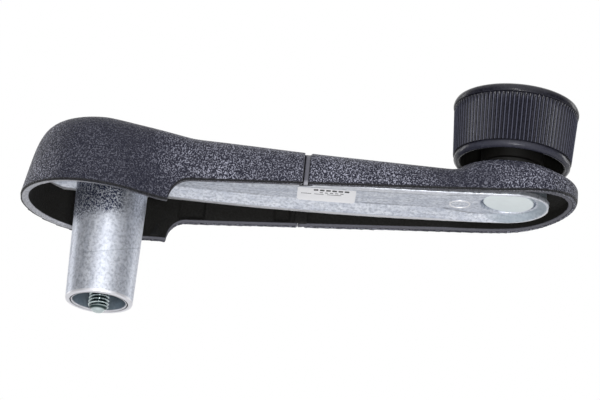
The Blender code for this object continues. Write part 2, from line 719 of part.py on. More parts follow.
# -------------------------------------------------------------------- assembly
def build():
    clear_scene()
    zinc = material("cast_zinc", (0.56, 0.58, 0.61), 0.42, 1.0)
    cover_plastic = material("grained_black", (0.035, 0.035, 0.045), 0.55)
    knob_plastic = material("smooth_black", (0.02, 0.02, 0.026), 0.35)
    plated = material("plated_steel", (0.62, 0.66, 0.68), 0.25, 1.0)
    acetal = material("natural_acetal", (0.75, 0.74, 0.70), 0.5)
    black_acetal = material("black_acetal", (0.02, 0.02, 0.02), 0.5)
    paper = material("label_paper", (0.85, 0.85, 0.86), 0.7)

    knob_pivot = add_pivot("knob_pivot", (*KNOB_AXIS, RIB_BOTTOM_Z))
    flap_pivot = add_pivot("flap_pivot", pivot_point())
    screw_pivot = add_pivot("screw_pivot", (*HUB_AXIS, HEAD_Z))

    arm_casting(zinc)
    arm_cover(cover_plastic)
    screw_cover(cover_plastic, flap_pivot)
    hinge_film(cover_plastic)
    part_label(paper)

    mounting_screw(plated, screw_pivot)
    lock_washer(plated, screw_pivot)
    flat_z = SEAT_Z + GAP
    flat = washer(flat_z, 1.0, 3.4, 6.2, HUB_AXIS)
    add_object("screw_washer", flat, plated, (0.0, 0.0, flat_z), screw_pivot)
    retainer_z = SOCKET_TOP_Z - RETAINER_DROP
    retainer = washer(retainer_z, 0.8, SCREW_R + GAP, 5.6, HUB_AXIS)
    add_object("screw_retainer", retainer, acetal, (0.0, 0.0, retainer_z), screw_pivot)

    knob_stud(plated)
    thrust = washer(KNOB_BOSS_TOP_Z + GAP, 0.7, STUD_R + GAP, 12.2, KNOB_AXIS)
    add_object("knob_thrust_washer", thrust, black_acetal)
    wave = washer(52.6, 0.4, STUD_R + 1.2, 8.4, KNOB_AXIS, segments=36, wave=0.35)
    add_object("knob_wave_washer", wave, plated)
    knob_bushing(black_acetal, knob_pivot)
    knob_body(knob_plastic, knob_pivot)
    knob_cap(knob_plastic, knob_pivot)
    top_washer = washer(66.5, 0.8, STUD_R + GAP, 8.0, KNOB_AXIS)
    add_object("knob_top_washer", top_washer, plated)
    retaining_ring(plated)


build()
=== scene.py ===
"""Visual model of a window crank operator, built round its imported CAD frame.

Sizes are in millimetres in the frame's axes and are turned into metres when a mesh is made.
"""
import math

import bmesh
import bpy
import numpy as np
from mathutils import Matrix, Vector


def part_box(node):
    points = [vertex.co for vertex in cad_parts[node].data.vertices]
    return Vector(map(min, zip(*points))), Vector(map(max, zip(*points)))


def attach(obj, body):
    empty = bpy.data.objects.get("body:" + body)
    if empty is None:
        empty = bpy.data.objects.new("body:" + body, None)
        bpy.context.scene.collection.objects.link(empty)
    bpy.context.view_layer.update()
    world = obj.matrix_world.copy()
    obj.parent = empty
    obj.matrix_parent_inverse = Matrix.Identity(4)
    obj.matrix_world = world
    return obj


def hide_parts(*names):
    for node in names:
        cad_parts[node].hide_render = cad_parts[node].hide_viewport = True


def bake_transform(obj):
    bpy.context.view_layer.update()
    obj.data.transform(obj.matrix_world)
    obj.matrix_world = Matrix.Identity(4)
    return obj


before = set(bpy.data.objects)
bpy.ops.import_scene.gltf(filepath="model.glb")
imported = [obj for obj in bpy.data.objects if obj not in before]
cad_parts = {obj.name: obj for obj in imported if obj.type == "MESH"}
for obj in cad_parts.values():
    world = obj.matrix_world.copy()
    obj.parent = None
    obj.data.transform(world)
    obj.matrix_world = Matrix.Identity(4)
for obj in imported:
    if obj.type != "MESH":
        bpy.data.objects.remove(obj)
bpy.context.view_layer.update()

MM = 0.001


def node_mm(name):
    """Lowest and highest corner of a CAD node, in millimetres."""
    low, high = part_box(name)
    return low / MM, high / MM


# Sizes read from the frame
KNOB_LOW, KNOB_HIGH = node_mm("knob_body")
CAP_LOW, CAP_HIGH = node_mm("knob_cap")
STUD_LOW, STUD_HIGH = node_mm("knob_stud")
SCREW_LOW, SCREW_HIGH = node_mm("mounting_screw")
FILM_LOW, FILM_HIGH = node_mm("hinge_film")
LABEL_LOW, LABEL_HIGH = node_mm("part_label")
ARM_LENGTH = (KNOB_LOW.x + KNOB_HIGH.x) / 2.0
FLAP_END_X = node_mm("screw_cover")[1].x
KNOB_AXIS = (ARM_LENGTH, 0.0)
HUB_AXIS = (0.0, 0.0)

# Cover shell, in the frame's proportions
HUB_ROUND_X = -3.4
END_ROUND_X = 116.3
WALL = 2.4
RIM_BEVEL = 0.35
FLANK_Z = 38.0
FLANK_HALF_WIDTH = 18.95
FLANK_TAPER = 0.0035
HUB_EXTRA_WIDTH = 2.3
HUB_LEAN = 0.185
SKIRT_LEAN = -0.08
ARM_LEAN = 0.11
END_EXTRA_WIDTH = -0.4
END_LEAN = -0.12
SHELL_BASE_Z = 30.0
SHELL_TOP_HUB = 52.3
SHELL_TOP_ARM = 48.1
SHOULDER_POWER = 5.0
HUB_SHOULDER_POWER = 6.0
END_SHOULDER_POWER = 12.0
SKIRT_Z = 27.8
SKIRT_SLOPE = -0.065
SKIRT_END_X = 16.6
SKIRT_STEP_R = 6.0
ARM_RIM_Z = 33.3
ARM_RIM_SLOPE = 0.0805
END_LIFT_X = 108.0
END_LIFT = 0.0035
ROUND_END_WALL = 0.9
KNOB_RISE = 2.2
LIP_START_X = 54.9
COVER_START_X = 56.6
GROOVE_DEPTH = 0.55
SLOT_DEPTH = 1.25
TONGUE_START_X = 53.7
TONGUE_END_X = 57.3
TONGUE_DEPTH = 3.0
TONGUE_THICKNESS = 1.2
TONGUE_FOOT = {1.0: 0.4, -1.0: 0.75}
FAR_LIP_GAP = 0.05
SLOT_WIDTH = 0.4
RECESSES = ((19.6, 27.2), (47.6, 52.2))
RECESS_DEPTH = 0.8
COLLAR_R = 16.2
COLLAR_BASE_Z = 48.9
COLLAR_TOP_Z = 51.1
COLLAR_SEAT_R = 12.7
COLLAR_SEAT_Z = 50.7
COVER_HOLE_R = 11.4
SHELL_VOXEL = 0.26

# Casting
SHANK_R_END = 9.75
SHANK_R_ROOT = 10.37
SHANK_ROOT_Z = 30.0
MOUTH_R = 7.7
MOUTH_DEPTH = 6.0
SERRATION_R = (6.2, 6.7)
SERRATIONS = 24
SOCKET_TOP_Z = 26.0
SEAT_Z = 34.3
SCREW_HOLE_R = 3.5
HEAD_POCKET_R = 8.4
HUB_BOSS_R = 12.6
HUB_BOSS_TOP_Z = 46.2
PARTING_Z = 15.75
BAR_HALF_WIDTH = 12.0
HUB_PLATE_HALF_WIDTH = 13.7
HUB_PLATE_END_X = 16.0
BAR_TIP_X = -19.5
BAR_TIP_R = 17.8
BAR_RIM_Z = 38.0
BAR_RISE_FROM_X = 25.0
BAR_RISE = 0.00045
BAR_DEPTH = 4.6
BAR_TOP_MAX_Z = 44.5
CHANNEL_DEPTH = 1.8
CHANNEL_RIM = (2.4, 0.7)
CHANNEL_SLOPE = (5.0, 2.8)
KNOB_BOSS_R = 11.0
KNOB_BOSS_TOP_Z = 50.9
STUD_POCKET_R = 8.2
EJECTOR_MARK = (101.0, 1.5)
EJECTOR_MARK_R = 2.9
LABEL_HALF_WIDTH = 5.2

# Knob and screw
RIBS = 90
RIB_DEPTH = 0.5
RIB_BOTTOM_Z = 57.1
RIB_TOP_Z = 71.5
KNOB_BOTTOM_R = 17.4
KNOB_TOP_R = 18.25
CROWN_R = 18.5
BEAD_R = 17.0
KNOB_MOUTH_R = 15.1
KNOB_HUB_R = 9.2
THREAD_PITCH = 1.0
THREAD_DEPTH = 0.55
SCREW_R = 3.0
HEAD_HEIGHT = 4.0

# Camera and lights, in metres, degrees and watts
VIEW_ANGLES = (-0.376, -20.301, 6.008)
VIEW_DISTANCE = 1.3058
VIEW_CENTRE = (0.0575, 0.0, 0.030)
VIEW_SHIFT = (-0.002192, 0.007568)
LENS = 270.0
LIGHT_AIM = (0.055, 0.0, 0.045)
LIGHTS = (("left_strip", (-0.70, 0.45, 0.25), 0.16, 0.7, 1.0),
          ("right_strip", (0.82, 0.45, 0.25), 0.16, 0.7, 1.0),
          ("front_box", (-0.05, -1.10, 0.45), 0.16, 0.30, 0.7),
          ("front_lamp", (0.12, -1.10, -0.36), 0.16, 0.08, 5.5),
          ("under_box", (0.06, 0.16, -0.70), 0.60, 0.10, 0.35))


# ---------------------------------------------------------------- mesh helpers
def smooth_step(x, start, end):
    t = min(1.0, max(0.0, (x - start) / (end - start)))
    return t * t * (3.0 - 2.0 * t)


def spread(start, end, count):
    return [start + (end - start) * k / (count - 1) for k in range(count)]


def finish_mesh(name, bm, sharp_degrees=35.0):
    """Object in metres from a bmesh in millimetres, faces outwards."""
    bmesh.ops.recalc_face_normals(bm, faces=bm.faces)
    if bm.calc_volume(signed=True) < 0.0:
        bmesh.ops.reverse_faces(bm, faces=bm.faces)
    bmesh.ops.scale(bm, vec=(MM, MM, MM), verts=bm.verts)
    mesh = bpy.data.meshes.new(name)
    bm.to_mesh(mesh)
    bm.free()
    mesh.shade_smooth()
    mesh.set_sharp_from_angle(angle=math.radians(sharp_degrees))
    obj = bpy.data.objects.new(name, mesh)
    bpy.context.collection.objects.link(obj)
    return obj


def join_rings(bm, low, high, closed=True):
    count = max(len(low), len(high))
    for k in range(count if closed else count - 1):
        n = (k + 1) % count
        if len(low) == 1:
            bm.faces.new((low[0], high[n], high[k]))
        elif len(high) == 1:
            bm.faces.new((low[k], low[n], high[0]))
        else:
            bm.faces.new((low[k], low[n], high[n], high[k]))


def turned(profile, segments, axis=HUB_AXIS, closed=False, radius=None, bm=None):
    """Turn an (r, z) profile about a vertical axis; radius(angle, r, z) may reshape it."""
    bm = bm or bmesh.new()
    rings = []
    for r, z in profile:
        if r <= 0.0:
            rings.append([bm.verts.new((axis[0], axis[1], z))])
            continue
        ring = []
        for k in range(segments):
            angle = 2.0 * math.pi * k / segments
            reach = radius(angle, r, z) if radius else r
            point = (axis[0] + reach * math.cos(angle), axis[1] + reach * math.sin(angle), z)
            ring.append(bm.verts.new(point))
        rings.append(ring)
    pairs = list(zip(rings, rings[1:]))
    if closed:
        pairs.append((rings[-1], rings[0]))
    for low, high in pairs:
        join_rings(bm, low, high)
    return bm


def loft(loops, bm=None):
    """Closed solid through loops of points, capped at both ends."""
    bm = bm or bmesh.new()
    rows = [[bm.verts.new(p) for p in loop] for loop in loops]
    for low, high in zip(rows, rows[1:]):
        join_rings(bm, low, high)
    bm.faces.new(rows[0])
    bm.faces.new(rows[-1])
    return bm


def rounded(profile, radius, steps=4, closed=False):
    """The profile with its corners turned into arcs, each within its own two edges."""
    points = []
    last = len(profile) - 1
    for i, corner in enumerate(profile):
        if not closed and i in (0, last):
            points.append(corner)
            continue
        here = Vector(corner)
        before = Vector(profile[i - 1]) - here
        after = Vector(profile[(i + 1) % len(profile)]) - here
        reach = min(radius, before.length * 0.45, after.length * 0.45)
        start = here + before.normalized() * reach
        end = here + after.normalized() * reach
        for k in range(steps + 1):
            t = k / steps
            p = start * (1 - t) ** 2 + here * 2 * t * (1 - t) + end * t * t
            points.append((p.x, p.y))
    return points


def apply_modifiers(obj):
    bpy.context.view_layer.update()
    evaluated = obj.evaluated_get(bpy.context.evaluated_depsgraph_get())
    mesh = bpy.data.meshes.new_from_object(evaluated)
    mesh.name = obj.name
    obj.modifiers.clear()
    obj.data = mesh


def fuse(name, parts, voxel, smoothing, sharp_degrees=180.0):
    """One skin round overlapping closed parts, with softly rounded edges."""
    whole = bmesh.new()
    for part in parts:
        bmesh.ops.recalc_face_normals(part, faces=part.faces)
        if part.calc_volume(signed=True) < 0.0:
            bmesh.ops.reverse_faces(part, faces=part.faces)
        held = bpy.data.meshes.new("held")
        part.to_mesh(held)
        part.free()
        whole.from_mesh(held)
        bpy.data.meshes.remove(held)
    bmesh.ops.scale(whole, vec=(MM, MM, MM), verts=whole.verts)
    mesh = bpy.data.meshes.new(name)
    whole.to_mesh(mesh)
    whole.free()
    obj = bpy.data.objects.new(name, mesh)
    bpy.context.collection.objects.link(obj)
    skin = obj.modifiers.new("skin", "REMESH")
    skin.mode = "VOXEL"
    skin.voxel_size = voxel * MM
    skin.use_smooth_shade = True
    soften = obj.modifiers.new("soften", "SMOOTH")
    soften.factor = 0.5
    soften.iterations = smoothing
    apply_modifiers(obj)
    obj.data.shade_smooth()
    if sharp_degrees < 180.0:
        obj.data.set_sharp_from_angle(angle=math.radians(sharp_degrees))
    return obj


def cut(obj, tool, solver="EXACT"):
    step = obj.modifiers.new("step", "BOOLEAN")
    step.operation = "DIFFERENCE"
    step.solver = solver
    step.object = tool
    apply_modifiers(obj)
    bpy.data.objects.remove(tool, do_unlink=True)


def bar_cut(bm, r, z_low, z_high, axis):
    """A bmesh solid less an upright cylinder."""
    whole = finish_mesh("blank", bm)
    profile = [(0.0, z_low), (r, z_low), (r, z_high), (0.0, z_high)]
    cut(whole, finish_mesh("tool", turned(profile, 96, axis)))
    cut_bm = bmesh.new()
    cut_bm.from_mesh(whole.data)
    bpy.data.objects.remove(whole, do_unlink=True)
    bmesh.ops.scale(cut_bm, vec=(1 / MM, 1 / MM, 1 / MM), verts=cut_bm.verts)
    return cut_bm


def inside_box(obj, low, high):
    """Keep a fused skin within its CAD node's box, in millimetres."""
    co = np.empty(len(obj.data.vertices) * 3, np.float32)
    obj.data.vertices.foreach_get("co", co)
    co = np.clip(co.reshape(-1, 3), np.array(low, np.float32) * MM, np.array(high, np.float32) * MM)
    obj.data.vertices.foreach_set("co", co.ravel())
    obj.data.update()


# ------------------------------------------------------------------- materials
class Nodes:
    """Short way to wire a procedural material in object space, in metres."""

    def __init__(self, name):
        self.material = bpy.data.materials.new(name)
        self.material.use_nodes = True
        self.tree = self.material.node_tree
        self.shader = self.tree.nodes["Principled BSDF"]
        self.place = self.tree.nodes.new("ShaderNodeTexCoord").outputs["Object"]

    def add(self, kind, links=None, **settings):
        node = self.tree.nodes.new(kind)
        for key, value in settings.items():
            setattr(node, key, value)
        for socket, value in (links or {}).items():
            if isinstance(value, bpy.types.NodeSocket):
                self.tree.links.new(value, node.inputs[socket])
            else:
                node.inputs[socket].default_value = value
        return node

    def noise(self, scale, detail=3.0, roughness=0.5, stretch=(1.0, 1.0, 1.0)):
        place = self.add("ShaderNodeMapping", {"Vector": self.place, "Scale": stretch})
        links = {"Vector": place.outputs[0], "Scale": scale, "Detail": detail, "Roughness": roughness}
        return self.add("ShaderNodeTexNoise", links).outputs[0]

    def cells(self, scale, feature="F1", randomness=1.0):
        links = {"Vector": self.place, "Scale": scale, "Randomness": randomness}
        return self.add("ShaderNodeTexVoronoi", links, feature=feature).outputs["Distance"]

    def spread(self, value, low, high, to_low, to_high):
        links = {"Value": value, "From Min": low, "From Max": high, "To Min": to_low, "To Max": to_high}
        return self.add("ShaderNodeMapRange", links).outputs[0]

    def maths(self, operation, a, b=0.0):
        return self.add("ShaderNodeMath", {0: a, 1: b}, operation=operation).outputs[0]

    def mix(self, factor, a, b):
        node = self.add("ShaderNodeMix", {"Factor": factor}, data_type="RGBA")
        for socket, value in ((6, a), (7, b)):
            if isinstance(value, bpy.types.NodeSocket):
                self.tree.links.new(value, node.inputs[socket])
            else:
                node.inputs[socket].default_value = (*value, 1.0)
        return node.outputs[2]

    def height(self):
        return self.add("ShaderNodeSeparateXYZ", {0: self.place}).outputs[2]

    def bump(self, value, strength, distance):
        links = {"Height": value, "Strength": strength, "Distance": distance}
        normal = self.add("ShaderNodeBump", links).outputs[0]
        self.tree.links.new(normal, self.shader.inputs["Normal"])

    def set(self, **values):
        names = {"colour": "Base Color", "roughness": "Roughness", "metallic": "Metallic",
                 "specular": "Specular IOR Level", "coat": "Coat Weight",
                 "coat_roughness": "Coat Roughness"}
        for key, value in values.items():
            socket = self.shader.inputs[names[key]]
            if isinstance(value, bpy.types.NodeSocket):
                self.tree.links.new(value, socket)
            elif key == "colour":
                socket.default_value = (*value, 1.0)
            else:
                socket.default_value = value


def cover_black():
    """Leather-grained black plastic, smooth inside. Painted shade darkens the inside, a line along the
    rounded outer corner above the lower edge and the slot by the hinge; painted highlights light the grain's
    tips and the face of the lower edge, most towards the hub's far end.
    """
    m = Nodes("cover_black")
    depth = m.add("ShaderNodeAttribute", attribute_name="wall_depth").outputs["Fac"]
    above = m.add("ShaderNodeAttribute", attribute_name="edge_height").outputs["Fac"]
    along = m.add("ShaderNodeSeparateXYZ", {0: m.place}).outputs[0]
    inside = m.spread(depth, 1.15, 1.35, 0.0, 1.0)
    low = m.spread(above, 0.55, 0.75, 1.0, 0.0)
    # painted highlight on the face of the lower edge, as if lit from below
    lit_rim_start = m.spread(along, -0.016, 0.004, 0.22, 1.35)
    low = m.maths("MULTIPLY", low, m.spread(depth, 2.6, 2.8, 1.0, 0.0))
    edge = m.maths("MULTIPLY", m.spread(m.maths("SUBTRACT", depth, lit_rim_start), 0.0, 0.15, 0.0, 1.0), low)
    # painted shade: a dark line along the rounded outer corner just above the lower edge
    corner = m.maths("MULTIPLY", m.spread(depth, 0.30, 0.45, 1.0, 0.0), m.spread(above, 0.5, 0.9, 1.0, 0.0))
    groove = m.maths("MULTIPLY", m.spread(along, 0.0542, 0.0545, 0.0, 1.0),
                     m.spread(along, 0.0561, 0.0564, 1.0, 0.0))
    # painted shade: near-black in the narrow slot between the lip and the knob length
    slot = m.maths("MULTIPLY", m.spread(along, 0.0561, 0.0562, 0.0, 1.0), m.spread(depth, 0.3, 0.5, 0.0, 1.0))
    slot = m.maths("MULTIPLY", slot, m.spread(along, 0.0566, 0.0567, 1.0, 0.0))

    pebbles = m.cells(1300.0, "SMOOTH_F1")
    fine = m.noise(2450.0, 1.5, 0.5)
    broad = m.noise(55.0, 2.0)
    # painted highlight on the grain's tips: strong at the hub's far end and along the arm, faint over the hub
    # and near the knob end
    end = m.spread(along, -0.024, -0.013, 1.25, 0.0)
    calm = m.maths("MULTIPLY", m.spread(along, 0.082, 0.094, 0.0, 0.55),
                   m.spread(along, 0.108, 0.120, 1.0, 0.0))
    strength = m.maths("MULTIPLY", m.spread(broad, 0.40, 0.60, 0.55, 1.0),
                       m.maths("MAXIMUM", m.spread(along, 0.010, 0.026, 0.20, 0.9), end))
    strength = m.maths("MULTIPLY", strength, m.maths("SUBTRACT", 1.0, calm))
    grain_tip_highlight = m.maths("MULTIPLY", m.spread(fine, 0.49, 0.66, 0.0, 1.0), strength)
    grained = m.mix(grain_tip_highlight, (0.008, 0.009, 0.025), (0.62, 0.63, 0.77))
    foot = m.spread(above, 0.5, 1.5, 1.0, 0.0)
    band = m.mix(foot, (0.11, 0.11, 0.135), (0.34, 0.34, 0.38))
    grained = m.mix(slot, m.mix(groove, grained, band), (0.002, 0.002, 0.002))
    grained = m.mix(corner, grained, (0.006, 0.006, 0.009))
    # painted shade: the smooth inside of the cover is coloured much darker than its outside
    shaded_inside = m.mix(broad, (0.0015, 0.0013, 0.0011), (0.005, 0.0045, 0.003))
    # painted highlight colour of the lower edge, lightest at the hub's far end, speckled darker
    wear_and_rim_highlight = m.mix(m.spread(along, -0.014, 0.012, 0.0, 1.0), (0.58, 0.59, 0.64), (0.13, 0.13, 0.155))
    drawn_marks_and_rim_highlight = m.mix(m.spread(fine, 0.35, 0.65, 0.0, 0.5), wear_and_rim_highlight, (0.09, 0.09, 0.11))
    colour = m.mix(inside, grained, shaded_inside)
    m.set(colour=m.mix(edge, colour, drawn_marks_and_rim_highlight), specular=0.4)
    m.set(roughness=m.maths("ADD", m.spread(fine, 0.3, 0.7, 0.52, 0.36), m.maths("MULTIPLY", inside, 0.4)))
    height = m.maths("ADD", m.maths("MULTIPLY", pebbles, -1.0), m.maths("MULTIPLY", fine, 1.5))
    plain = m.maths("MAXIMUM", m.maths("MULTIPLY", inside, 0.85), m.maths("MULTIPLY", groove, 0.9))
    m.bump(m.maths("MULTIPLY", height, m.maths("SUBTRACT", 1.0, plain)), 0.9, 0.00045)
    return m.material


def smooth_black(name, tone=1.0, rough=0.3, hollow_r=0.0):
    """Moulded black plastic with faint flow marks and a painted highlight on the knob's rib crests; matt
    within hollow_r of the knob's axis, and darker there as painted shade.
    """
    m = Nodes(name)
    flow = m.noise(260.0, 4.0, 0.55, (1.0, 1.0, 0.3))
    fine = m.noise(1500.0, 3.0)
    dark = tuple(c * tone for c in (0.0065, 0.0065, 0.012))
    light = tuple(c * tone for c in (0.020, 0.020, 0.031))
    crest_highlight = m.add("ShaderNodeAttribute", attribute_name="rib_crest_highlight").outputs["Fac"]
    colour = m.mix(m.spread(fine, 0.35, 0.65, 0.0, 1.0), dark, light)
    # painted highlight on the ribs' crests, weaker on the bead
    colour = m.mix(crest_highlight, colour, (0.15, 0.155, 0.215))
    roughness = m.spread(flow, 0.3, 0.7, rough - 0.05, rough + 0.08)
    if hollow_r:
        flat = m.add("ShaderNodeVectorMath", {0: m.place, 1: (1.0, 1.0, 0.0)}, operation="MULTIPLY")
        axis = (ARM_LENGTH * MM, 0.0, 0.0)
        reach = m.add("ShaderNodeVectorMath", {0: flat.outputs[0], 1: axis}, operation="DISTANCE")
        hollow = m.spread(reach.outputs[1], (hollow_r - 0.1) * MM, (hollow_r + 0.1) * MM, 1.0, 0.0)
        below = m.spread(m.height(), 0.0725, 0.0727, 1.0, 0.0)
        hollow = m.maths("MULTIPLY", hollow, below)
        # painted shade: darker inside the knob's hollow
        colour = m.mix(hollow, colour, (0.005, 0.0045, 0.0035))
        roughness = m.maths("ADD", roughness, m.maths("MULTIPLY", hollow, 0.35))
    m.set(colour=colour, roughness=roughness, specular=0.4)
    m.bump(fine, 0.25, 0.00006)
    return m.material


def shank_marks(m, colour):
    """Painted dark speckled reflection and shade of the cover at the root, the parting line, painted shade in
    the bore, the bright mouth and painted shade in the crease round it.
    """
    along, across, high = m.add("ShaderNodeSeparateXYZ", {0: m.place}).outputs[:3]
    # painted reflection and shade of the dark cover, speckled, over the top of the shank and strongest on its
    # left
    ragged = m.maths("ADD", high, m.maths("MULTIPLY", m.noise(330.0, 5.0, 0.75), 0.010))
    ragged = m.maths("SUBTRACT", ragged, m.maths("MULTIPLY", along, 0.13))
    cover_reflection = m.spread(ragged, 0.0280, 0.0312, 0.0, 1.0)
    cover_reflection = m.maths("MULTIPLY", cover_reflection, m.spread(along, 0.0028, 0.0048, 1.0, 0.30))
    speckle = m.spread(m.noise(2300.0, 2.0, 0.6), 0.45, 0.60, 1.0, 0.05)
    colour = m.mix(m.maths("MULTIPLY", cover_reflection, speckle), colour, (0.05, 0.06, 0.12))
    tilt = m.maths("ADD", m.maths("MULTIPLY", along, 0.2), m.maths("MULTIPLY", across, 0.35))
    parting = m.maths("ABSOLUTE", m.maths("SUBTRACT", m.maths("SUBTRACT", high, tilt), PARTING_Z * MM))
    seam = m.maths("MULTIPLY", m.spread(parting, 0.00010, 0.00025, 0.32, 0.0),
                   m.spread(along, -0.0065, -0.0045, 0.0, 1.0))
    colour = m.mix(seam, colour, (0.20, 0.24, 0.30))
    flat = m.add("ShaderNodeVectorMath", {0: m.place, 1: (1.0, 1.0, 0.0)}, operation="MULTIPLY")
    reach = m.add("ShaderNodeVectorMath", {0: flat.outputs[0]}, operation="LENGTH").outputs[1]
    mouth = m.spread(high, 0.0006, 0.0009, 1.0, 0.0)
    # painted shade inside the bore
    bore = m.spread(reach, (MOUTH_R + 0.02) * MM, (MOUTH_R + 0.08) * MM, 0.85, 0.0)
    colour = m.mix(bore, colour, (0.22, 0.28, 0.33))
    ring = m.maths("ABSOLUTE", m.maths("SUBTRACT", reach, (MOUTH_R + 0.59) * MM))
    rim = m.spread(reach, (MOUTH_R + 0.02) * MM, (MOUTH_R + 0.08) * MM, 0.0, 1.0)
    colour = m.mix(m.maths("MULTIPLY", mouth, rim), colour, (0.95, 0.95, 1.0))
    # painted shade in the crease round the mouth
    colour = m.mix(m.maths("MULTIPLY", mouth, m.spread(ring, 0.00014, 0.00022, 1.0, 0.0)), colour,
                   (0.04, 0.05, 0.06))
    return colour


def channel_marks(m, colour):
    """Grey painted shade on the dish round the stud, a painted highlight on the channel's rim and ragged
    painted shade in the creases of the arm's channel.
    """
    rim = m.add("ShaderNodeAttribute", attribute_name="rim_highlight").outputs["Fac"]
    dish = m.add("ShaderNodeAttribute", attribute_name="dish").outputs["Fac"]
    # painted shade on the dish's slope round the stud
    colour = m.mix(m.maths("MULTIPLY", dish, 0.65), colour, (0.30, 0.37, 0.42))
    # painted highlight along the channel's rim, weaker on the near side
    colour = m.mix(m.maths("MULTIPLY", rim, 0.8), colour, (0.97, 0.97, 1.0))
    # ragged painted shade along the near rim's inner edge and, fainter, along the far floor's edge
    crease = m.add("ShaderNodeAttribute", attribute_name="crease_shade").outputs["Fac"]
    ragged = m.spread(m.noise(800.0, 2.0, 0.5, (0.35, 1.0, 1.0)), 0.38, 0.58, 0.25, 1.0)
    colour = m.mix(m.maths("MULTIPLY", crease, ragged), colour, (0.07, 0.07, 0.09))
    return colour


def cast_zinc(name, is_shank=False):
    """Tumbled zinc casting: fine grain, soft mottling and drawn marks along the arm."""
    m = Nodes(name)
    grain = m.noise(1150.0, 3.0, 0.6)
    mottle = m.noise(760.0 if is_shank else 420.0, 3.0, 0.6)
    drawn_marks_and_rim_highlight = m.noise(900.0, 3.0, 0.65, (1.0, 1.0, 0.05) if is_shank else (0.04, 1.0, 1.0))
    tone = m.maths("ADD", m.maths("MULTIPLY", mottle, 0.45), m.maths("MULTIPLY", drawn_marks_and_rim_highlight, 0.55))
    low, high = (0.25, 0.72) if is_shank else (0.36, 0.62)
    colour = m.mix(m.spread(tone, low, high, 0.0, 1.0), (0.62, 0.66, 0.76), (0.90, 0.93, 1.0))
    colour = m.mix(m.spread(grain, 0.36, 0.56, 0.6, 0.0), colour, (0.36, 0.39, 0.46))
    colour = shank_marks(m, colour) if is_shank else channel_marks(m, colour)
    m.set(colour=colour, metallic=0.8, roughness=m.spread(grain, 0.3, 0.7, 0.36, 0.52))
    relief = m.maths("ADD", grain, m.maths("MULTIPLY", mottle, 0.2 if is_shank else 0.6))
    m.bump(relief, 0.35 if is_shank else 0.55, 0.00012 if is_shank else 0.00018)
    return m.material


def plated_steel(name, colour=(0.70, 0.75, 0.77), rough=0.24, metallic=1.0):
    m = Nodes(name)
    clouds = m.noise(350.0, 4.0, 0.6)
    fine = m.noise(4200.0, 2.0)
    wear_and_rim_highlight = tuple(c * 0.88 for c in colour)
    m.set(colour=m.mix(clouds, wear_and_rim_highlight, colour), metallic=metallic)
    m.set(roughness=m.spread(clouds, 0.3, 0.7, rough - 0.06, rough + 0.1))
    m.bump(fine, 0.08, 0.00003)
    return m.material


def threaded_steel(name):
    """Zinc-plated thread, with painted shade in the valleys."""
    m = Nodes(name)
    flat = m.add("ShaderNodeVectorMath", {0: m.place, 1: (1.0, 1.0, 0.0)}, operation="MULTIPLY")
    reach = m.add("ShaderNodeVectorMath", {0: flat.outputs[0]}, operation="LENGTH").outputs[1]
    low = m.spread(m.height(), 0.020, 0.021, 1.0, 0.0)
    tip = m.spread(m.height(), -0.0024, -0.0021, 0.0, 1.0)
    # painted shade: darker between the thread's crests, except at the tip and under the head
    valley = m.maths("MULTIPLY", m.spread(reach, 0.00252, 0.00285, 1.0, 0.0), m.maths("MULTIPLY", low, tip))
    clouds = m.noise(350.0, 4.0, 0.6)
    bright = m.mix(clouds, (0.66, 0.78, 0.80), (0.86, 0.96, 0.97))
    m.set(colour=m.mix(valley, bright, (0.05, 0.08, 0.08)), metallic=1.0)
    m.set(roughness=m.spread(clouds, 0.3, 0.7, 0.16, 0.3))
    m.bump(m.noise(4200.0, 2.0), 0.08, 0.00003)
    return m.material


def label_paper():
    m = Nodes("label_paper")
    fibre = m.noise(900.0, 5.0, 0.7)
    m.set(colour=m.mix(fibre, (0.86, 0.86, 0.90), (0.98, 0.98, 1.0)), roughness=0.4)
    m.bump(fibre, 0.15, 0.00004)
    return m.material


def moulded(name, colour, rough=0.45):
    m = Nodes(name)
    flow = m.noise(380.0, 4.0, 0.55)
    darker = tuple(c * 0.8 for c in colour)
    m.set(colour=m.mix(flow, darker, colour), roughness=m.spread(flow, 0.3, 0.7, rough - 0.08, rough + 0.1))
    m.bump(flow, 0.1, 0.00004)
    return m.material


# ------------------------------------------------------------------ cover shell
def rim_z(x):
    if x <= SKIRT_END_X:
        return SKIRT_Z + SKIRT_SLOPE * x
    skirt_end = SKIRT_Z + SKIRT_SLOPE * SKIRT_END_X
    if x < SKIRT_END_X + SKIRT_STEP_R:
        along = (SKIRT_END_X + SKIRT_STEP_R - x) / SKIRT_STEP_R
        return skirt_end + (ARM_RIM_Z - skirt_end) * math.sqrt(max(0.0, 1.0 - along * along))
    arm = ARM_RIM_Z + ARM_RIM_SLOPE * (x - SKIRT_END_X - SKIRT_STEP_R)
    return arm + END_LIFT * max(0.0, x - END_LIFT_X) ** 2


def flank(x, z):
    """Half width of the cover's outside at a height, without the rounded shoulder."""
    hub = 1.0 - smooth_step(x, -8.0, 20.0)
    end = smooth_step(x, 97.0, 112.0)
    at_level = FLANK_HALF_WIDTH - FLANK_TAPER * (x - 24.0) + HUB_EXTRA_WIDTH * hub + END_EXTRA_WIDTH * end
    lean = HUB_LEAN * (1.0 - smooth_step(x, 0.0, SKIRT_END_X))
    lean += SKIRT_LEAN * smooth_step(x, 4.0, SKIRT_END_X)
    lean += ARM_LEAN * smooth_step(x, 17.0, 24.0) + END_LEAN * end
    return at_level + lean * (FLANK_Z - z)


def shoulder_power(x):
    hub = (HUB_SHOULDER_POWER - SHOULDER_POWER) * (1.0 - smooth_step(x, -3.4, 20.0))
    end = (END_SHOULDER_POWER - SHOULDER_POWER) * smooth_step(x, 97.0, 112.0)
    return SHOULDER_POWER + hub + end


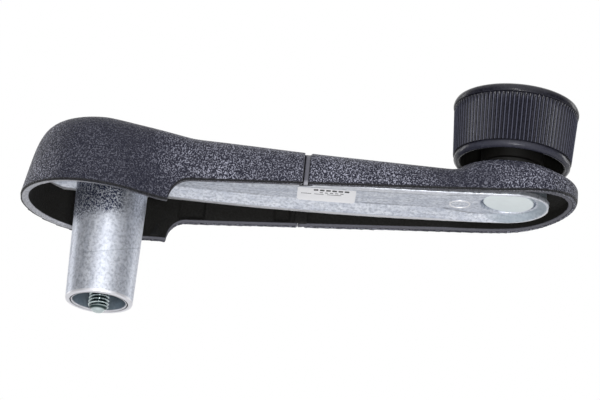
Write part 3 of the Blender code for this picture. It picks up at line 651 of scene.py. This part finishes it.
def shell_top(x):
    hub = 1.0 - smooth_step(x, -5.0, 25.0)
    tail = 0.6 * (1.0 - smooth_step(x, 22.0, 66.0))
    rise = KNOB_RISE * smooth_step(x, 97.0, 107.0)
    return SHELL_TOP_ARM + (SHELL_TOP_HUB - SHELL_TOP_ARM - 0.6) * hub + tail + rise


WALL_SHARES = spread(0.0, 1.0, 16)
SHOULDER_TURNS = spread(27.5, 90.0, 26)[1:]


def shell_profile(x, inset, low=None):
    """Points (r, z) from the lower edge to the middle line, at an inset from the outside."""
    top = shell_top(x) - inset
    height = top - SHELL_BASE_Z
    shoulder = SHELL_BASE_Z + 0.72 * height
    exponent = shoulder_power(x)
    if low is None:
        low = rim_z(x)
    raised = max(shoulder, low + ROUND_END_WALL)
    points = []
    for share in WALL_SHARES:
        z = rim_z(x) + share * (shoulder - rim_z(x))
        up = max(0.0, (z - SHELL_BASE_Z) / height)
        r = flank(x, z) * (1.0 - up ** exponent) ** (1.0 / exponent) - inset
        points.append((r, low + share * (raised - low)))
    power = 2.0 / exponent
    for degrees in SHOULDER_TURNS:
        angle = math.radians(degrees)
        own = SHELL_BASE_Z + height * math.sin(angle) ** power
        r = (flank(x, own) - inset) * max(0.0, math.cos(angle)) ** power
        z = raised + (own - shoulder) / (top - shoulder) * (top - raised)
        points.append((r if degrees < 90.0 else 0.0, z))
    return points


def wall_half_width(x, z):
    """Half width of the cover's outside at a height, with the rounded shoulder."""
    up = max(0.0, (z - SHELL_BASE_Z) / (shell_top(x) - SHELL_BASE_Z))
    exponent = shoulder_power(x)
    return flank(x, z) * max(0.0, 1.0 - up ** exponent) ** (1.0 / exponent)


def recess(x, z):
    """Depth of the shallow pockets in the hub length's inner walls."""
    for low, high in RECESSES:
        if low <= x <= high and rim_z(x) + 1.3 < z < 44.0:
            return RECESS_DEPTH
    return 0.0


def station_points(station, inset):
    """Profile of one station. On a round end each point follows the lower edge below it."""
    centre_x, direction = station
    points = []
    for index, (r, z) in enumerate(shell_profile(centre_x, inset)):
        if direction[0]:
            low = rim_z(centre_x + r * direction[0])
            z = shell_profile(centre_x, inset, low)[index][1]
        elif inset:
            r += recess(centre_x, z)
        if index == 0 and inset:
            z += RIM_BEVEL
        points.append((centre_x + r * direction[0], r * direction[1], z))
    return points


def round_station(centre_x, degrees):
    angle = math.radians(degrees)
    return centre_x, (math.cos(angle), math.sin(angle))


def shell_solid(stations):
    bm = bmesh.new()
    outer = [[bm.verts.new(p) for p in station_points(s, 0.0)] for s in stations]
    inner = [[bm.verts.new(p) for p in station_points(s, WALL)] for s in stations]
    for j in range(len(stations) - 1):
        for grid in (outer, inner):
            join_rings(bm, grid[j], grid[j + 1], closed=False)
        bm.faces.new((outer[j][0], outer[j + 1][0], inner[j + 1][0], inner[j][0]))
    for j in (0, len(stations) - 1):
        for i in range(len(outer[0]) - 1):
            bm.faces.new((outer[j][i], outer[j][i + 1], inner[j][i + 1], inner[j][i]))
    bmesh.ops.remove_doubles(bm, verts=bm.verts, dist=0.0005)
    return bm


def step_stations():
    turns = [math.radians(degrees) for degrees in spread(0.0, 90.0, 14)]
    return [SKIRT_END_X + SKIRT_STEP_R * (1.0 - math.cos(turn)) for turn in turns]


def hub_stations():
    edges = [x + step for pocket in RECESSES for x in pocket for step in (-0.15, 0.15)]
    along = spread(HUB_ROUND_X, SKIRT_END_X - 0.8, 16) + step_stations() + spread(24.0, FLAP_END_X, 20)
    along = sorted(along + edges)
    near = [(x, (0.0, -1.0)) for x in reversed(along)]
    far = [(x, (0.0, 1.0)) for x in along]
    return near + [round_station(HUB_ROUND_X, a) for a in spread(270.0, 90.0, 62)[1:-1]] + far


def arm_stations():
    along = spread(COVER_START_X, END_ROUND_X, 48)
    far = [(x, (0.0, 1.0)) for x in along]
    near = [(x, (0.0, -1.0)) for x in reversed(along)]
    return far + [round_station(END_ROUND_X, a) for a in spread(90.0, -90.0, 56)[1:-1]] + near


def below_surface(profile, depth):
    moved = []
    last = len(profile) - 1
    for i, (r, z) in enumerate(profile):
        before, after = profile[max(0, i - 1)], profile[min(last, i + 1)]
        run, climb = after[0] - before[0], after[1] - before[1]
        length = math.hypot(run, climb)
        moved.append((r - depth * climb / length, z + depth * run / length))
    return moved


def lip_solid(side):
    """Recessed side lip under the hinge line, with a narrow slot beside the knob length."""
    sections = []
    slot_x = COVER_START_X - SLOT_WIDTH
    start = LIP_START_X if side < 0.0 else FLAP_END_X + FAR_LIP_GAP
    for x, depth in ((start, GROOVE_DEPTH), (slot_x, GROOVE_DEPTH), (slot_x + 0.02, SLOT_DEPTH),
                     (COVER_START_X + 0.9, SLOT_DEPTH)):
        profile = [p for p in shell_profile(x, 0.0) if p[0] > FILM_HIGH.y + 0.4]
        sections.append([(x, side * r, z) for r, z in below_surface(profile, depth)]
                        + [(x, side * r, z) for r, z in reversed(below_surface(profile, WALL - 0.4))])
    return loft(sections)


def tongue_solid(side):
    """Tongue from the knob length behind the hub length's wall, across the hinge line."""
    sections = []
    joined = WALL - 0.9
    for x, depth in ((TONGUE_START_X, TONGUE_DEPTH), (LIP_START_X, TONGUE_DEPTH),
                     (LIP_START_X + 1.0, joined), (TONGUE_END_X, joined)):
        levels = spread(rim_z(x) + TONGUE_FOOT[side], 43.0, 8)
        outer = [(x, side * (wall_half_width(x, z) - depth), z) for z in levels]
        back = TONGUE_DEPTH + TONGUE_THICKNESS
        inner = [(x, side * (wall_half_width(x, z) - back), z) for z in reversed(levels)]
        sections.append(outer + inner)
    return loft(sections)


def make_gusset(x, side, finish):
    """Small three-cornered web on the inside of the skirt's wall."""
    low = rim_z(x) + 1.0
    sections = []
    for z, half in ((low, 1.6), (low + 1.9, 0.85), (low + 3.7, 0.12)):
        wall_y = flank(x, z) - WALL
        corners = ((-half, 0.3), (-half, -0.4), (0.0, -0.9), (half, -0.4), (half, 0.3))
        sections.append([(x + dx, side * (wall_y + dy), z) for dx, dy in corners])
    web = finish_mesh(f"skirt_web_{'far' if side > 0 else 'near'}", loft(sections))
    web.data.materials.append(finish)
    place_piece(web, "flap", "grained_black")


def mark_cover(obj):
    """Note on each vertex how deep it lies in the wall and how far above the lower edge, in mm."""
    mesh = obj.data
    depths = np.zeros(len(mesh.vertices), np.float32)
    heights = np.zeros(len(mesh.vertices), np.float32)
    for vertex in mesh.vertices:
        x, y, z = vertex.co / MM
        centre = min(max(x, HUB_ROUND_X), END_ROUND_X)
        power = shoulder_power(centre)
        across = math.hypot(x - centre, y) / flank(centre, z)
        up = max(0.0, (z - SHELL_BASE_Z) / (shell_top(centre) - SHELL_BASE_Z))
        depths[vertex.index] = (1.0 - (across ** power + up ** power) ** (1.0 / power)) * FLANK_HALF_WIDTH
        heights[vertex.index] = z - rim_z(x)
    for name, values in (("wall_depth", depths), ("edge_height", heights)):
        mesh.attributes.new(name, "FLOAT", "POINT").data.foreach_set("value", values)


def make_screw_cover():
    cover = fuse("screw_cover_shell", [shell_solid(hub_stations())], SHELL_VOXEL, 2)
    inside_box(cover, *node_mm("screw_cover"))
    mark_cover(cover)
    cover.data.materials.append(COVER)
    place_piece(cover, "flap", "grained_black", "screw_cover")
    # painted shade: the webs are coloured blacker than the inside of the cover
    web_shade_black = moulded("web_shade_black", (0.001, 0.001, 0.001), 0.8)
    for side in (-1.0, 1.0):
        make_gusset(13.6, side, web_shade_black)


def make_arm_cover():
    disc = rounded([(COVER_HOLE_R, COLLAR_BASE_Z), (COLLAR_R - 0.4, COLLAR_BASE_Z - 1.9),
                    (COLLAR_R + 0.15, COLLAR_BASE_Z - 0.2), (COLLAR_R, COLLAR_TOP_Z),
                    (COLLAR_SEAT_R + 0.3, COLLAR_TOP_Z), (COLLAR_SEAT_R, COLLAR_SEAT_Z),
                    (COVER_HOLE_R, COLLAR_SEAT_Z)], 0.6, closed=True)
    shell = bar_cut(shell_solid(arm_stations()), COVER_HOLE_R, 44.0, 56.0, KNOB_AXIS)
    parts = [shell, turned(disc, 120, KNOB_AXIS, closed=True)]
    for side in (-1.0, 1.0):
        parts += [lip_solid(side), tongue_solid(side)]
    cover = fuse("arm_cover_shell", parts, SHELL_VOXEL, 2)
    inside_box(cover, *node_mm("arm_cover"))
    mark_cover(cover)
    cover.data.materials.append(COVER)
    place_piece(cover, "arm", "grained_black", "arm_cover")


def make_hinge_film():
    """Thin strip in the groove between the two lengths of the cover, thinner along its middle."""
    start, end = FLAP_END_X - 0.5, COVER_START_X + 0.3
    loops = []
    for x in spread(start, end, 17):
        dip = 0.14 * math.sin(math.pi * (x - start) / (end - start))
        upper = FILM_HIGH.z - dip
        lower = FILM_LOW.z + dip
        ring = [(x, y, upper) for y in spread(-FILM_HIGH.y, FILM_HIGH.y, 25)]
        ring += [(x, y, lower) for y in spread(FILM_HIGH.y, -FILM_HIGH.y, 25)]
        loops.append(ring)
    film = finish_mesh("hinge_band", loft(loops))
    film.data.materials.append(smooth_black("film_black", 2.0, 0.45))
    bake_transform(film)
    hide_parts("hinge_film")


def place_piece(obj, body, slot, *nodes):
    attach(obj, body)
    if nodes:
        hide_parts(*nodes)


# ---------------------------------------------------------------- zinc casting
def bar_rim_z(x):
    return BAR_RIM_Z + BAR_RISE * max(0.0, x - BAR_RISE_FROM_X) ** 2


def bar_half_width(x):
    """Plan outline of the arm: a plate round the shank, then the arm and its round knob end."""
    if x > ARM_LENGTH:
        return math.sqrt(max(0.0, BAR_HALF_WIDTH ** 2 - (x - ARM_LENGTH) ** 2))
    plate = 1.0 - smooth_step(x, 0.0, HUB_PLATE_END_X)
    half = BAR_HALF_WIDTH + (HUB_PLATE_HALF_WIDTH - BAR_HALF_WIDTH) * plate
    if x < HUB_ROUND_X:
        half = min(half, math.sqrt(BAR_TIP_R ** 2 - (x - HUB_ROUND_X) ** 2))
    return half


def channel_part(x, widths):
    """A width across the channel, from its value in the arm to its value at the knob end."""
    return widths[0] + (widths[1] - widths[0]) * smooth_step(x, 92.0, 108.0)


def channel_z(x, y):
    """Height of the channel's floor or slope in the arm's straight length."""
    inner = BAR_HALF_WIDTH - channel_part(x, CHANNEL_RIM)
    flat = inner - channel_part(x, CHANNEL_SLOPE)
    drop = CHANNEL_DEPTH * max(0.0, abs(y) - flat) / (inner - flat)
    return bar_rim_z(x) + CHANNEL_DEPTH - drop


def bar_section(x):
    half = bar_half_width(x)
    rim = bar_rim_z(x)
    top = min(rim + BAR_DEPTH, BAR_TOP_MAX_Z)
    floor = rim + CHANNEL_DEPTH * smooth_step(half, 3.0, 9.0)
    inner = max(0.3 * half, half - channel_part(x, CHANNEL_RIM))
    flat = max(0.15 * half, inner - channel_part(x, CHANNEL_SLOPE))
    half_loop = [(0.0, floor), (0.5 * flat, floor), (flat, floor),
                 (0.5 * (flat + inner), 0.5 * (floor + rim)), (inner, rim), (half, rim + 0.15),
                 (half - 0.2, rim + 2.0), (half - 0.5, top - 0.8),
                 (half - 1.5, top), (0.0, top)]
    near = [(x, -y, z) for y, z in half_loop]
    far = [(x, y, z) for y, z in reversed(half_loop[1:-1])]
    return near + far


def bar_solid():
    tip = spread(BAR_TIP_X, -12.0, 18)
    middle = spread(-11.0, ARM_LENGTH - 1.0, 60)
    end = [ARM_LENGTH + BAR_HALF_WIDTH * math.sin(math.radians(a)) for a in spread(0.0, 80.0, 22)]
    return loft([bar_section(x) for x in tip + middle + end])


def mark_casting(obj):
    """Note on each vertex the painted highlight on the channel's rim, the painted shade in its creases and
    the darker painted shade on the dish round the stud.
    """
    mesh = obj.data
    rim_highlights = np.zeros(len(mesh.vertices), np.float32)
    dish_shades = np.zeros(len(mesh.vertices), np.float32)
    crease_shades = np.zeros(len(mesh.vertices), np.float32)
    for vertex in mesh.vertices:
        x, y, z = vertex.co / MM
        reach = math.hypot(max(0.0, x - ARM_LENGTH), y)
        half = BAR_HALF_WIDTH if x > ARM_LENGTH else bar_half_width(x)
        inner = half - channel_part(x, CHANNEL_RIM)
        low = 1.0 - smooth_step(z - bar_rim_z(x), 0.25, 0.6)
        # painted highlight on the rim, weaker on the near side
        rim_highlights[vertex.index] = low * smooth_step(reach, inner - 0.1, inner + 0.3) * (1.0 if y > 0.0 else 0.4)
        line, weight = (inner - 0.15, 1.0) if y < 0.0 else (inner - channel_part(x, CHANNEL_SLOPE), 0.55)
        shallow = 1.0 - smooth_step(z - bar_rim_z(x), CHANNEL_DEPTH + 0.3, CHANNEL_DEPTH + 0.8)
        fade = smooth_step(x, 14.0, 20.0) * (1.0 - smooth_step(x, 104.0, 112.0))
        crease_shades[vertex.index] = weight * shallow * fade * math.exp(-((reach - line) / 0.3) ** 2)
        from_stud = math.hypot(x - ARM_LENGTH, y)
        ring = smooth_step(from_stud, 8.0, 9.2) * (1.0 - smooth_step(from_stud, 11.0, 11.5))
        dish_shades[vertex.index] = ring * smooth_step(x, 106.0, 116.0)
    for name, values in (("rim_highlight", rim_highlights), ("dish", dish_shades), ("crease_shade", crease_shades)):
        mesh.attributes.new(name, "FLOAT", "POINT").data.foreach_set("value", values)


def make_casting():
    bar = bar_cut(bar_solid(), HUB_BOSS_R - 1.5, 20.0, 60.0, HUB_AXIS)
    bar = bar_cut(bar, STUD_POCKET_R, 20.0, 60.0, KNOB_AXIS)
    hub = [(SHANK_R_ROOT + 0.15, BAR_RIM_Z - 2.5), (SHANK_R_ROOT + 0.5, BAR_RIM_Z - 0.6),
           (SHANK_R_ROOT + 1.3, BAR_RIM_Z + 0.9), (HUB_BOSS_R, BAR_RIM_Z + 2.6),
           (HUB_BOSS_R, HUB_BOSS_TOP_Z - 0.8), (HUB_BOSS_R - 0.8, HUB_BOSS_TOP_Z),
           (HEAD_POCKET_R, HUB_BOSS_TOP_Z), (HEAD_POCKET_R, BAR_RIM_Z - 2.5)]
    boss = [(4.3, KNOB_BOSS_TOP_Z), (KNOB_BOSS_R - 0.5, KNOB_BOSS_TOP_Z),
            (KNOB_BOSS_R, KNOB_BOSS_TOP_Z - 0.5), (KNOB_BOSS_R, 43.9), (STUD_POCKET_R - 0.2, 43.9),
            (STUD_POCKET_R, 45.4), (4.3, 45.4)]
    parts = [bar, turned(hub, 144, closed=True), turned(boss, 144, KNOB_AXIS, closed=True)]
    casting = fuse("casting_arm", parts, 0.27, 3)
    inside_box(casting, *node_mm("arm_casting"))
    mark_casting(casting)
    casting.data.materials.append(cast_zinc("cast_zinc"))
    place_piece(casting, "arm", "cast_zinc", "arm_casting")
    make_shank()
    make_ejector_mark()


def make_shank():
    """Turned lower part of the casting with the crease round its mouth and its fluted socket."""
    crease = [(MOUTH_R + 0.15, 0.1), (MOUTH_R + 0.38, 0.02), (MOUTH_R + 0.46, 0.7), (MOUTH_R + 0.72, 0.7),
              (MOUTH_R + 0.80, 0.0)]
    corner = [(SHANK_R_END - 0.4, 0.0), (SHANK_R_END - 0.12, 0.12), (SHANK_R_END + 0.01, 0.45)]
    outside = crease + corner
    for z in spread(1.0, SHANK_ROOT_Z, 30):
        outside.append((SHANK_R_END + (SHANK_R_ROOT - SHANK_R_END) * z / SHANK_ROOT_Z, z))
    outside += [(SHANK_R_ROOT + 0.1, BAR_RIM_Z - 1.0), (SHANK_R_ROOT - 0.3, BAR_RIM_Z + 2.0)]
    inside = [(HEAD_POCKET_R, BAR_RIM_Z + 2.0), (HEAD_POCKET_R, SEAT_Z), (SCREW_HOLE_R, SEAT_Z),
              (SCREW_HOLE_R, SOCKET_TOP_Z)]
    flutes = [(SERRATION_R[1] + 0.01, SOCKET_TOP_Z), (SERRATION_R[1] + 0.01, MOUTH_DEPTH)]
    mouth = [(MOUTH_R, MOUTH_DEPTH), (MOUTH_R, 0.5)]

    def fluted(angle, r, z):
        if r != flutes[0][0]:
            return r
        wave = 0.5 + 0.5 * math.cos(SERRATIONS * angle)
        return SERRATION_R[0] + (SERRATION_R[1] - SERRATION_R[0]) * wave

    shank = finish_mesh("casting_shank", turned(outside + inside + flutes + mouth, 240, closed=True,
                                                radius=fluted), 30.0)
    shank.data.materials.append(cast_zinc("cast_zinc_shank", is_shank=True))
    place_piece(shank, "arm", "cast_zinc")


def make_ejector_mark():
    """Fine raised ring that an ejector pin leaves on the channel's floor."""
    x, y = EJECTOR_MARK
    floor = bar_rim_z(x) + CHANNEL_DEPTH
    bm = bmesh.new()
    rings = []
    for k in range(64):
        angle = 2.0 * math.pi * k / 64
        ring = []
        for j in range(8):
            turn = 2.0 * math.pi * j / 8
            r = EJECTOR_MARK_R + 0.22 * math.cos(turn)
            at = x + r * math.cos(angle)
            z = bar_rim_z(at) + CHANNEL_DEPTH + 0.26 * math.sin(turn)
            ring.append(bm.verts.new((at, y + r * math.sin(angle), min(z, floor + 1.0))))
        rings.append(ring)
    for k in range(64):
        join_rings(bm, rings[k], rings[(k + 1) % 64])
    mark = finish_mesh("ejector_mark", bm)
    # painted highlight: the ring is coloured near-white, lighter than the zinc round it
    mark.data.materials.append(plated_steel("ejector_ring_highlight", (0.98, 0.98, 1.0), 0.5, 0.6))
    place_piece(mark, "arm", "cast_zinc")


# ------------------------------------------------------------------------ knob
def mark_crest_highlights(obj):
    """Note on each vertex the painted highlight on the crests of the grip's ribs, and a weaker painted
    highlight on the bead under them.
    """
    mesh = obj.data
    crest_highlights = np.zeros(len(mesh.vertices), np.float32)
    for vertex in mesh.vertices:
        x, y, z = vertex.co / MM
        if RIB_BOTTOM_Z + 0.1 < z < RIB_TOP_Z - 0.2:
            share = (z - RIB_BOTTOM_Z) / (RIB_TOP_Z - RIB_BOTTOM_Z)
            outside = KNOB_BOTTOM_R + (KNOB_TOP_R - KNOB_BOTTOM_R) * share
            reach = math.hypot(x - ARM_LENGTH, y)
            crest_highlights[vertex.index] = smooth_step(reach, outside - 0.26 * RIB_DEPTH, outside - 0.02 * RIB_DEPTH)
            crest_highlights[vertex.index] *= 1.0 if reach < outside + 0.01 else 0.0
        # a weaker painted highlight on the bead below the ribs
        elif z < RIB_BOTTOM_Z - 0.3 and math.hypot(x - ARM_LENGTH, y) > KNOB_MOUTH_R + 0.5:
            crest_highlights[vertex.index] = 0.2
    mesh.attributes.new("rib_crest_highlight", "FLOAT", "POINT").data.foreach_set("value", crest_highlights)


def make_knob():
    bead = [(KNOB_HUB_R, KNOB_LOW.z + 0.2), (KNOB_HUB_R, 68.5), (13.5, 69.3), (KNOB_MOUTH_R - 0.2, 66.0),
            (KNOB_MOUTH_R, 56.4), (KNOB_MOUTH_R + 0.05, KNOB_LOW.z + 0.7),
            (KNOB_MOUTH_R + 0.75, KNOB_LOW.z), (BEAD_R - 0.6, KNOB_LOW.z),
            (BEAD_R + 0.2, KNOB_LOW.z + 0.75), (BEAD_R - 0.05, RIB_BOTTOM_Z)]
    bead = rounded(bead, 0.9, 6)
    grip = [(KNOB_BOTTOM_R - 0.05, RIB_BOTTOM_Z), (KNOB_BOTTOM_R, RIB_BOTTOM_Z + 0.12)]
    grip += [(KNOB_BOTTOM_R + (KNOB_TOP_R - KNOB_BOTTOM_R) * t, RIB_BOTTOM_Z + (RIB_TOP_Z - RIB_BOTTOM_Z) * t)
             for t in spread(0.02, 1.0, 14)]
    crown = [(KNOB_TOP_R - 0.3, RIB_TOP_Z + 0.12), (CROWN_R - 0.05, RIB_TOP_Z + 0.3),
             (CROWN_R, RIB_TOP_Z + 1.2), (CROWN_R - 0.5, RIB_TOP_Z + 2.4),
             (CROWN_R - 1.4, KNOB_HIGH.z - 0.3), (CROWN_R - 2.7, KNOB_HIGH.z),
             (CAP_HIGH.x - ARM_LENGTH + 0.3, KNOB_HIGH.z - 0.3),
             (CAP_HIGH.x - ARM_LENGTH + 0.3, 72.4), (10.0, 72.4), (10.0, 66.2), (5.6, 66.2),
             (5.6, KNOB_LOW.z + 0.2)]
    crown = rounded(crown, 0.8, 5)

    def ribbed(angle, r, z):
        if not RIB_BOTTOM_Z <= z <= RIB_TOP_Z or r < KNOB_BOTTOM_R - 0.2:
            return r
        wave = 0.5 - 0.5 * math.cos(RIBS * angle)
        fade = smooth_step(z, RIB_BOTTOM_Z - 0.02, RIB_BOTTOM_Z + 0.1)
        fade *= 1.0 - smooth_step(z, RIB_TOP_Z - 0.5, RIB_TOP_Z)
        return r - RIB_DEPTH * fade * wave ** 0.8

    knob = finish_mesh("knob_grip", turned(bead + grip + crown, RIBS * 8, KNOB_AXIS, closed=True,
                                           radius=ribbed), 40.0)
    mark_crest_highlights(knob)
    knob.data.materials.append(smooth_black("knob_black", 1.0, 0.24, KNOB_MOUTH_R + 0.2))
    place_piece(knob, "knob", "smooth_black", "knob_body")


def make_cap():
    edge = CAP_HIGH.x - ARM_LENGTH
    profile = [(0.0, CAP_LOW.z), (9.0, CAP_LOW.z), (9.5, CAP_LOW.z + 0.6), (9.5, 72.7), (edge - 0.3, 72.7),
               (edge, 73.0), (edge, CAP_HIGH.z), (edge - 2.6, CAP_HIGH.z), (edge - 3.1, CAP_HIGH.z - 0.35),
               (6.0, CAP_HIGH.z - 0.85), (0.0, CAP_HIGH.z - 1.0)]
    cap = finish_mesh("knob_top_cap", turned(rounded(profile, 0.5, 6), 192, KNOB_AXIS), 50.0)
    cap.data.materials.append(smooth_black("cap_black", 1.0, 0.26))
    place_piece(cap, "knob", "smooth_black", "knob_cap")


def make_stud():
    head_r = STUD_HIGH.y
    head_top = STUD_LOW.z + 1.5
    profile = [(0.0, STUD_LOW.z), (head_r, STUD_LOW.z), (head_r, head_top), (4.0, head_top), (4.0, 67.5),
               (3.4, 67.5), (3.4, 68.6), (4.0, 68.6), (4.0, STUD_HIGH.z), (0.0, STUD_HIGH.z)]
    stud = finish_mesh("knob_pivot_stud", turned(rounded(profile, 0.35, 5), 160, KNOB_AXIS), 40.0)
    stud.data.materials.append(plated_steel("stud_plating", (0.91, 0.98, 1.0), 0.4, 0.25))
    place_piece(stud, "arm", "plated_steel", "knob_stud")


# --------------------------------------------------------------- captive screw
def make_screw():
    """Helical M6 thread with a chamfered tip, and a hexagonal head with a washer face."""
    tip = SCREW_LOW.z
    head_z = SCREW_HIGH.z - HEAD_HEIGHT
    thread_top = 20.0
    levels = spread(tip, thread_top, 460)
    profile = [(0.0, tip)] + [(SCREW_R, z) for z in levels]
    profile += rounded([(SCREW_R, thread_top + 0.4), (SCREW_R, head_z)], 0.1)
    corner = SCREW_HIGH.x
    profile += [(corner - 0.6, head_z), (corner, head_z + 0.3), (corner, SCREW_HIGH.z - 0.7),
                (corner - 0.9, SCREW_HIGH.z), (corner - 2.8, SCREW_HIGH.z),
                (corner - 3.1, SCREW_HIGH.z - 0.5), (0.0, SCREW_HIGH.z - 0.5)]

    def shaped(angle, r, z):
        if z > head_z - 0.01 and r > SCREW_R:
            flat = (angle + math.pi / 6.0) % (math.pi / 3.0) - math.pi / 6.0
            return min(r, corner * math.cos(math.pi / 6.0) / math.cos(flat))
        if z > thread_top:
            return r
        turn = (z - tip) / THREAD_PITCH - angle / (2.0 * math.pi)
        tooth = abs((turn % 1.0) * 2.0 - 1.0)
        depth = THREAD_DEPTH * min(1.0, max(0.0, 1.35 * tooth - 0.12))
        depth *= 1.0 - smooth_step(z, thread_top - 1.0, thread_top)
        return min(r - depth, 1.35 + 1.0 * (z - tip))

    screw = finish_mesh("captive_screw", turned(profile, 96, radius=shaped), 32.0)
    screw.data.materials.append(threaded_steel("screw_plating"))
    place_piece(screw, "screw", "plated_steel", "mounting_screw")


# ----------------------------------------------------------------------- label
def make_label():
    """Paper label on the channel's floor with plain bars where print would be."""
    def sheet(name, x0, x1, y0, y1, lift, thickness, corner, finish):
        bm = bmesh.new()
        rows = []
        for x in spread(x0, x1, 25):
            edge = min(x - x0, x1 - x)
            pull = corner - math.sqrt(max(0.0, corner ** 2 - (corner - edge) ** 2)) if edge < corner else 0
            across = spread(y0 + pull, y1 - pull, 9)
            under = [(x, y, channel_z(x, y) - lift) for y in across]
            rows.append(under + [(x, y, z - thickness) for x, y, z in reversed(under)])
        obj = finish_mesh(name, loft(rows, bm))
        obj.data.materials.append(finish)
        return obj

    paper = sheet("label_sheet", LABEL_LOW.x, LABEL_HIGH.x, -LABEL_HALF_WIDTH, LABEL_HALF_WIDTH,
                  0.02, 0.12, 0.7, label_paper())
    place_piece(paper, "arm", "label_paper", "part_label")
    ink = moulded("label_ink", (0.02, 0.02, 0.03))
    bars = [(x, x + 1.3, -3.9, -2.7) for x in spread(58.2, 67.2, 6)]
    bars += [(x, x + 0.9, -1.6, -1.1) for x in spread(60.0, 66.0, 5)]
    bars += [(54.6, 57.6, -0.2, 0.15), (58.4, 61.2, -0.2, 0.15), (62.2, 66.4, -0.2, 0.15)]
    for index, (x0, x1, y0, y1) in enumerate(bars):
        mark = sheet(f"label_bar_{index}", x0, x1, y0, y1, 0.14, 0.02, 0.05, ink)
        place_piece(mark, "arm", "label_paper")


# ------------------------------------------------------------- carried-over CAD
def paint_frame():
    """Procedural finishes on the CAD nodes that stay as they are."""
    steel = plated_steel("washer_plating")
    finishes = {"screw_washer": steel, "screw_lock_washer": steel, "knob_wave_washer": steel,
                "knob_top_washer": steel, "knob_retaining_ring": steel,
                "screw_retainer": moulded("natural_acetal", (0.72, 0.71, 0.67)),
                "knob_thrust_washer": moulded("black_acetal", (0.02, 0.02, 0.021)),
                "knob_bushing": moulded("black_bushing", (0.022, 0.022, 0.022))}
    for name, finish in finishes.items():
        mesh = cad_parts[name].data
        mesh.materials.clear()
        mesh.materials.append(finish)


# -------------------------------------------------------------------- staging
def add_light(name, place, target, width, height, power):
    data = bpy.data.lights.new(name, "AREA")
    data.shape = "RECTANGLE"
    data.size, data.size_y = width, height
    data.energy = power
    lamp = bpy.data.objects.new(name, data)
    lamp.location = place
    lamp.rotation_euler = (Vector(target) - Vector(place)).to_track_quat("-Z", "Y").to_euler()
    bpy.context.collection.objects.link(lamp)


def soften_sides(tree):
    """White sky in front of, behind, above and below the crank, greyer towards both sides."""
    facing = tree.nodes.new("ShaderNodeTexCoord").outputs["Generated"]
    split = tree.nodes.new("ShaderNodeSeparateXYZ")
    tree.links.new(facing, split.inputs[0])
    shade = tree.nodes.new("ShaderNodeMath")
    shade.operation = "ABSOLUTE"
    tree.links.new(split.outputs[0], shade.inputs[0])
    grey = tree.nodes.new("ShaderNodeMapRange")
    for socket, value in (("From Min", 0.30), ("From Max", 0.80), ("To Min", 1.0), ("To Max", 0.14)):
        grey.inputs[socket].default_value = value
    tree.links.new(shade.outputs[0], grey.inputs["Value"])
    tree.links.new(grey.outputs[0], tree.nodes["Background"].inputs["Color"])
    tree.nodes["Background"].inputs["Strength"].default_value = 1.0


def stage():
    world = bpy.context.scene.world or bpy.data.worlds.new("studio")
    bpy.context.scene.world = world
    world.use_nodes = True
    soften_sides(world.node_tree)
    for name, place, width, height, power in LIGHTS:
        add_light(name, place, LIGHT_AIM, width, height, power)
    bm = bmesh.new()
    bmesh.ops.create_grid(bm, x_segments=1, y_segments=1, size=6.0)
    floor_mesh = bpy.data.meshes.new("floor")
    bm.to_mesh(floor_mesh)
    bm.free()
    floor = bpy.data.objects.new("floor", floor_mesh)
    floor.location = (0.0, 0.0, -1.0)
    bpy.context.collection.objects.link(floor)
    floor.data.materials.append(moulded("pale_floor", (0.86, 0.86, 0.86), 0.8))
    bpy.context.scene.view_settings.view_transform = "Standard"


def camera():
    """Seen from in front and below, slightly rolled, through a long lens."""
    azimuth, elevation, roll = (math.radians(a) for a in VIEW_ANGLES)
    back = Vector((math.sin(azimuth) * math.cos(elevation), -math.cos(azimuth) * math.cos(elevation),
                   math.sin(elevation)))
    right = Vector((math.cos(azimuth), math.sin(azimuth), 0.0))
    up = back.cross(right)
    across = math.cos(roll) * right + math.sin(roll) * up
    upright = -math.sin(roll) * right + math.cos(roll) * up
    target = Vector(VIEW_CENTRE) + VIEW_SHIFT[0] * across + VIEW_SHIFT[1] * upright
    data = bpy.data.cameras.new("camera")
    data.lens = LENS
    data.sensor_width = 36.0
    data.clip_start, data.clip_end = 0.05, 20.0
    cam = bpy.data.objects.new("camera", data)
    turn = Matrix((across, upright, back)).transposed().to_4x4()
    cam.matrix_world = Matrix.Translation(target + VIEW_DISTANCE * back) @ turn
    bpy.context.collection.objects.link(cam)
    bpy.context.scene.camera = cam


COVER = cover_black()

camera()
make_casting()
make_screw_cover()
make_arm_cover()
make_hinge_film()
make_knob()
make_cap()
make_stud()
make_screw()
make_label()
paint_frame()
stage()
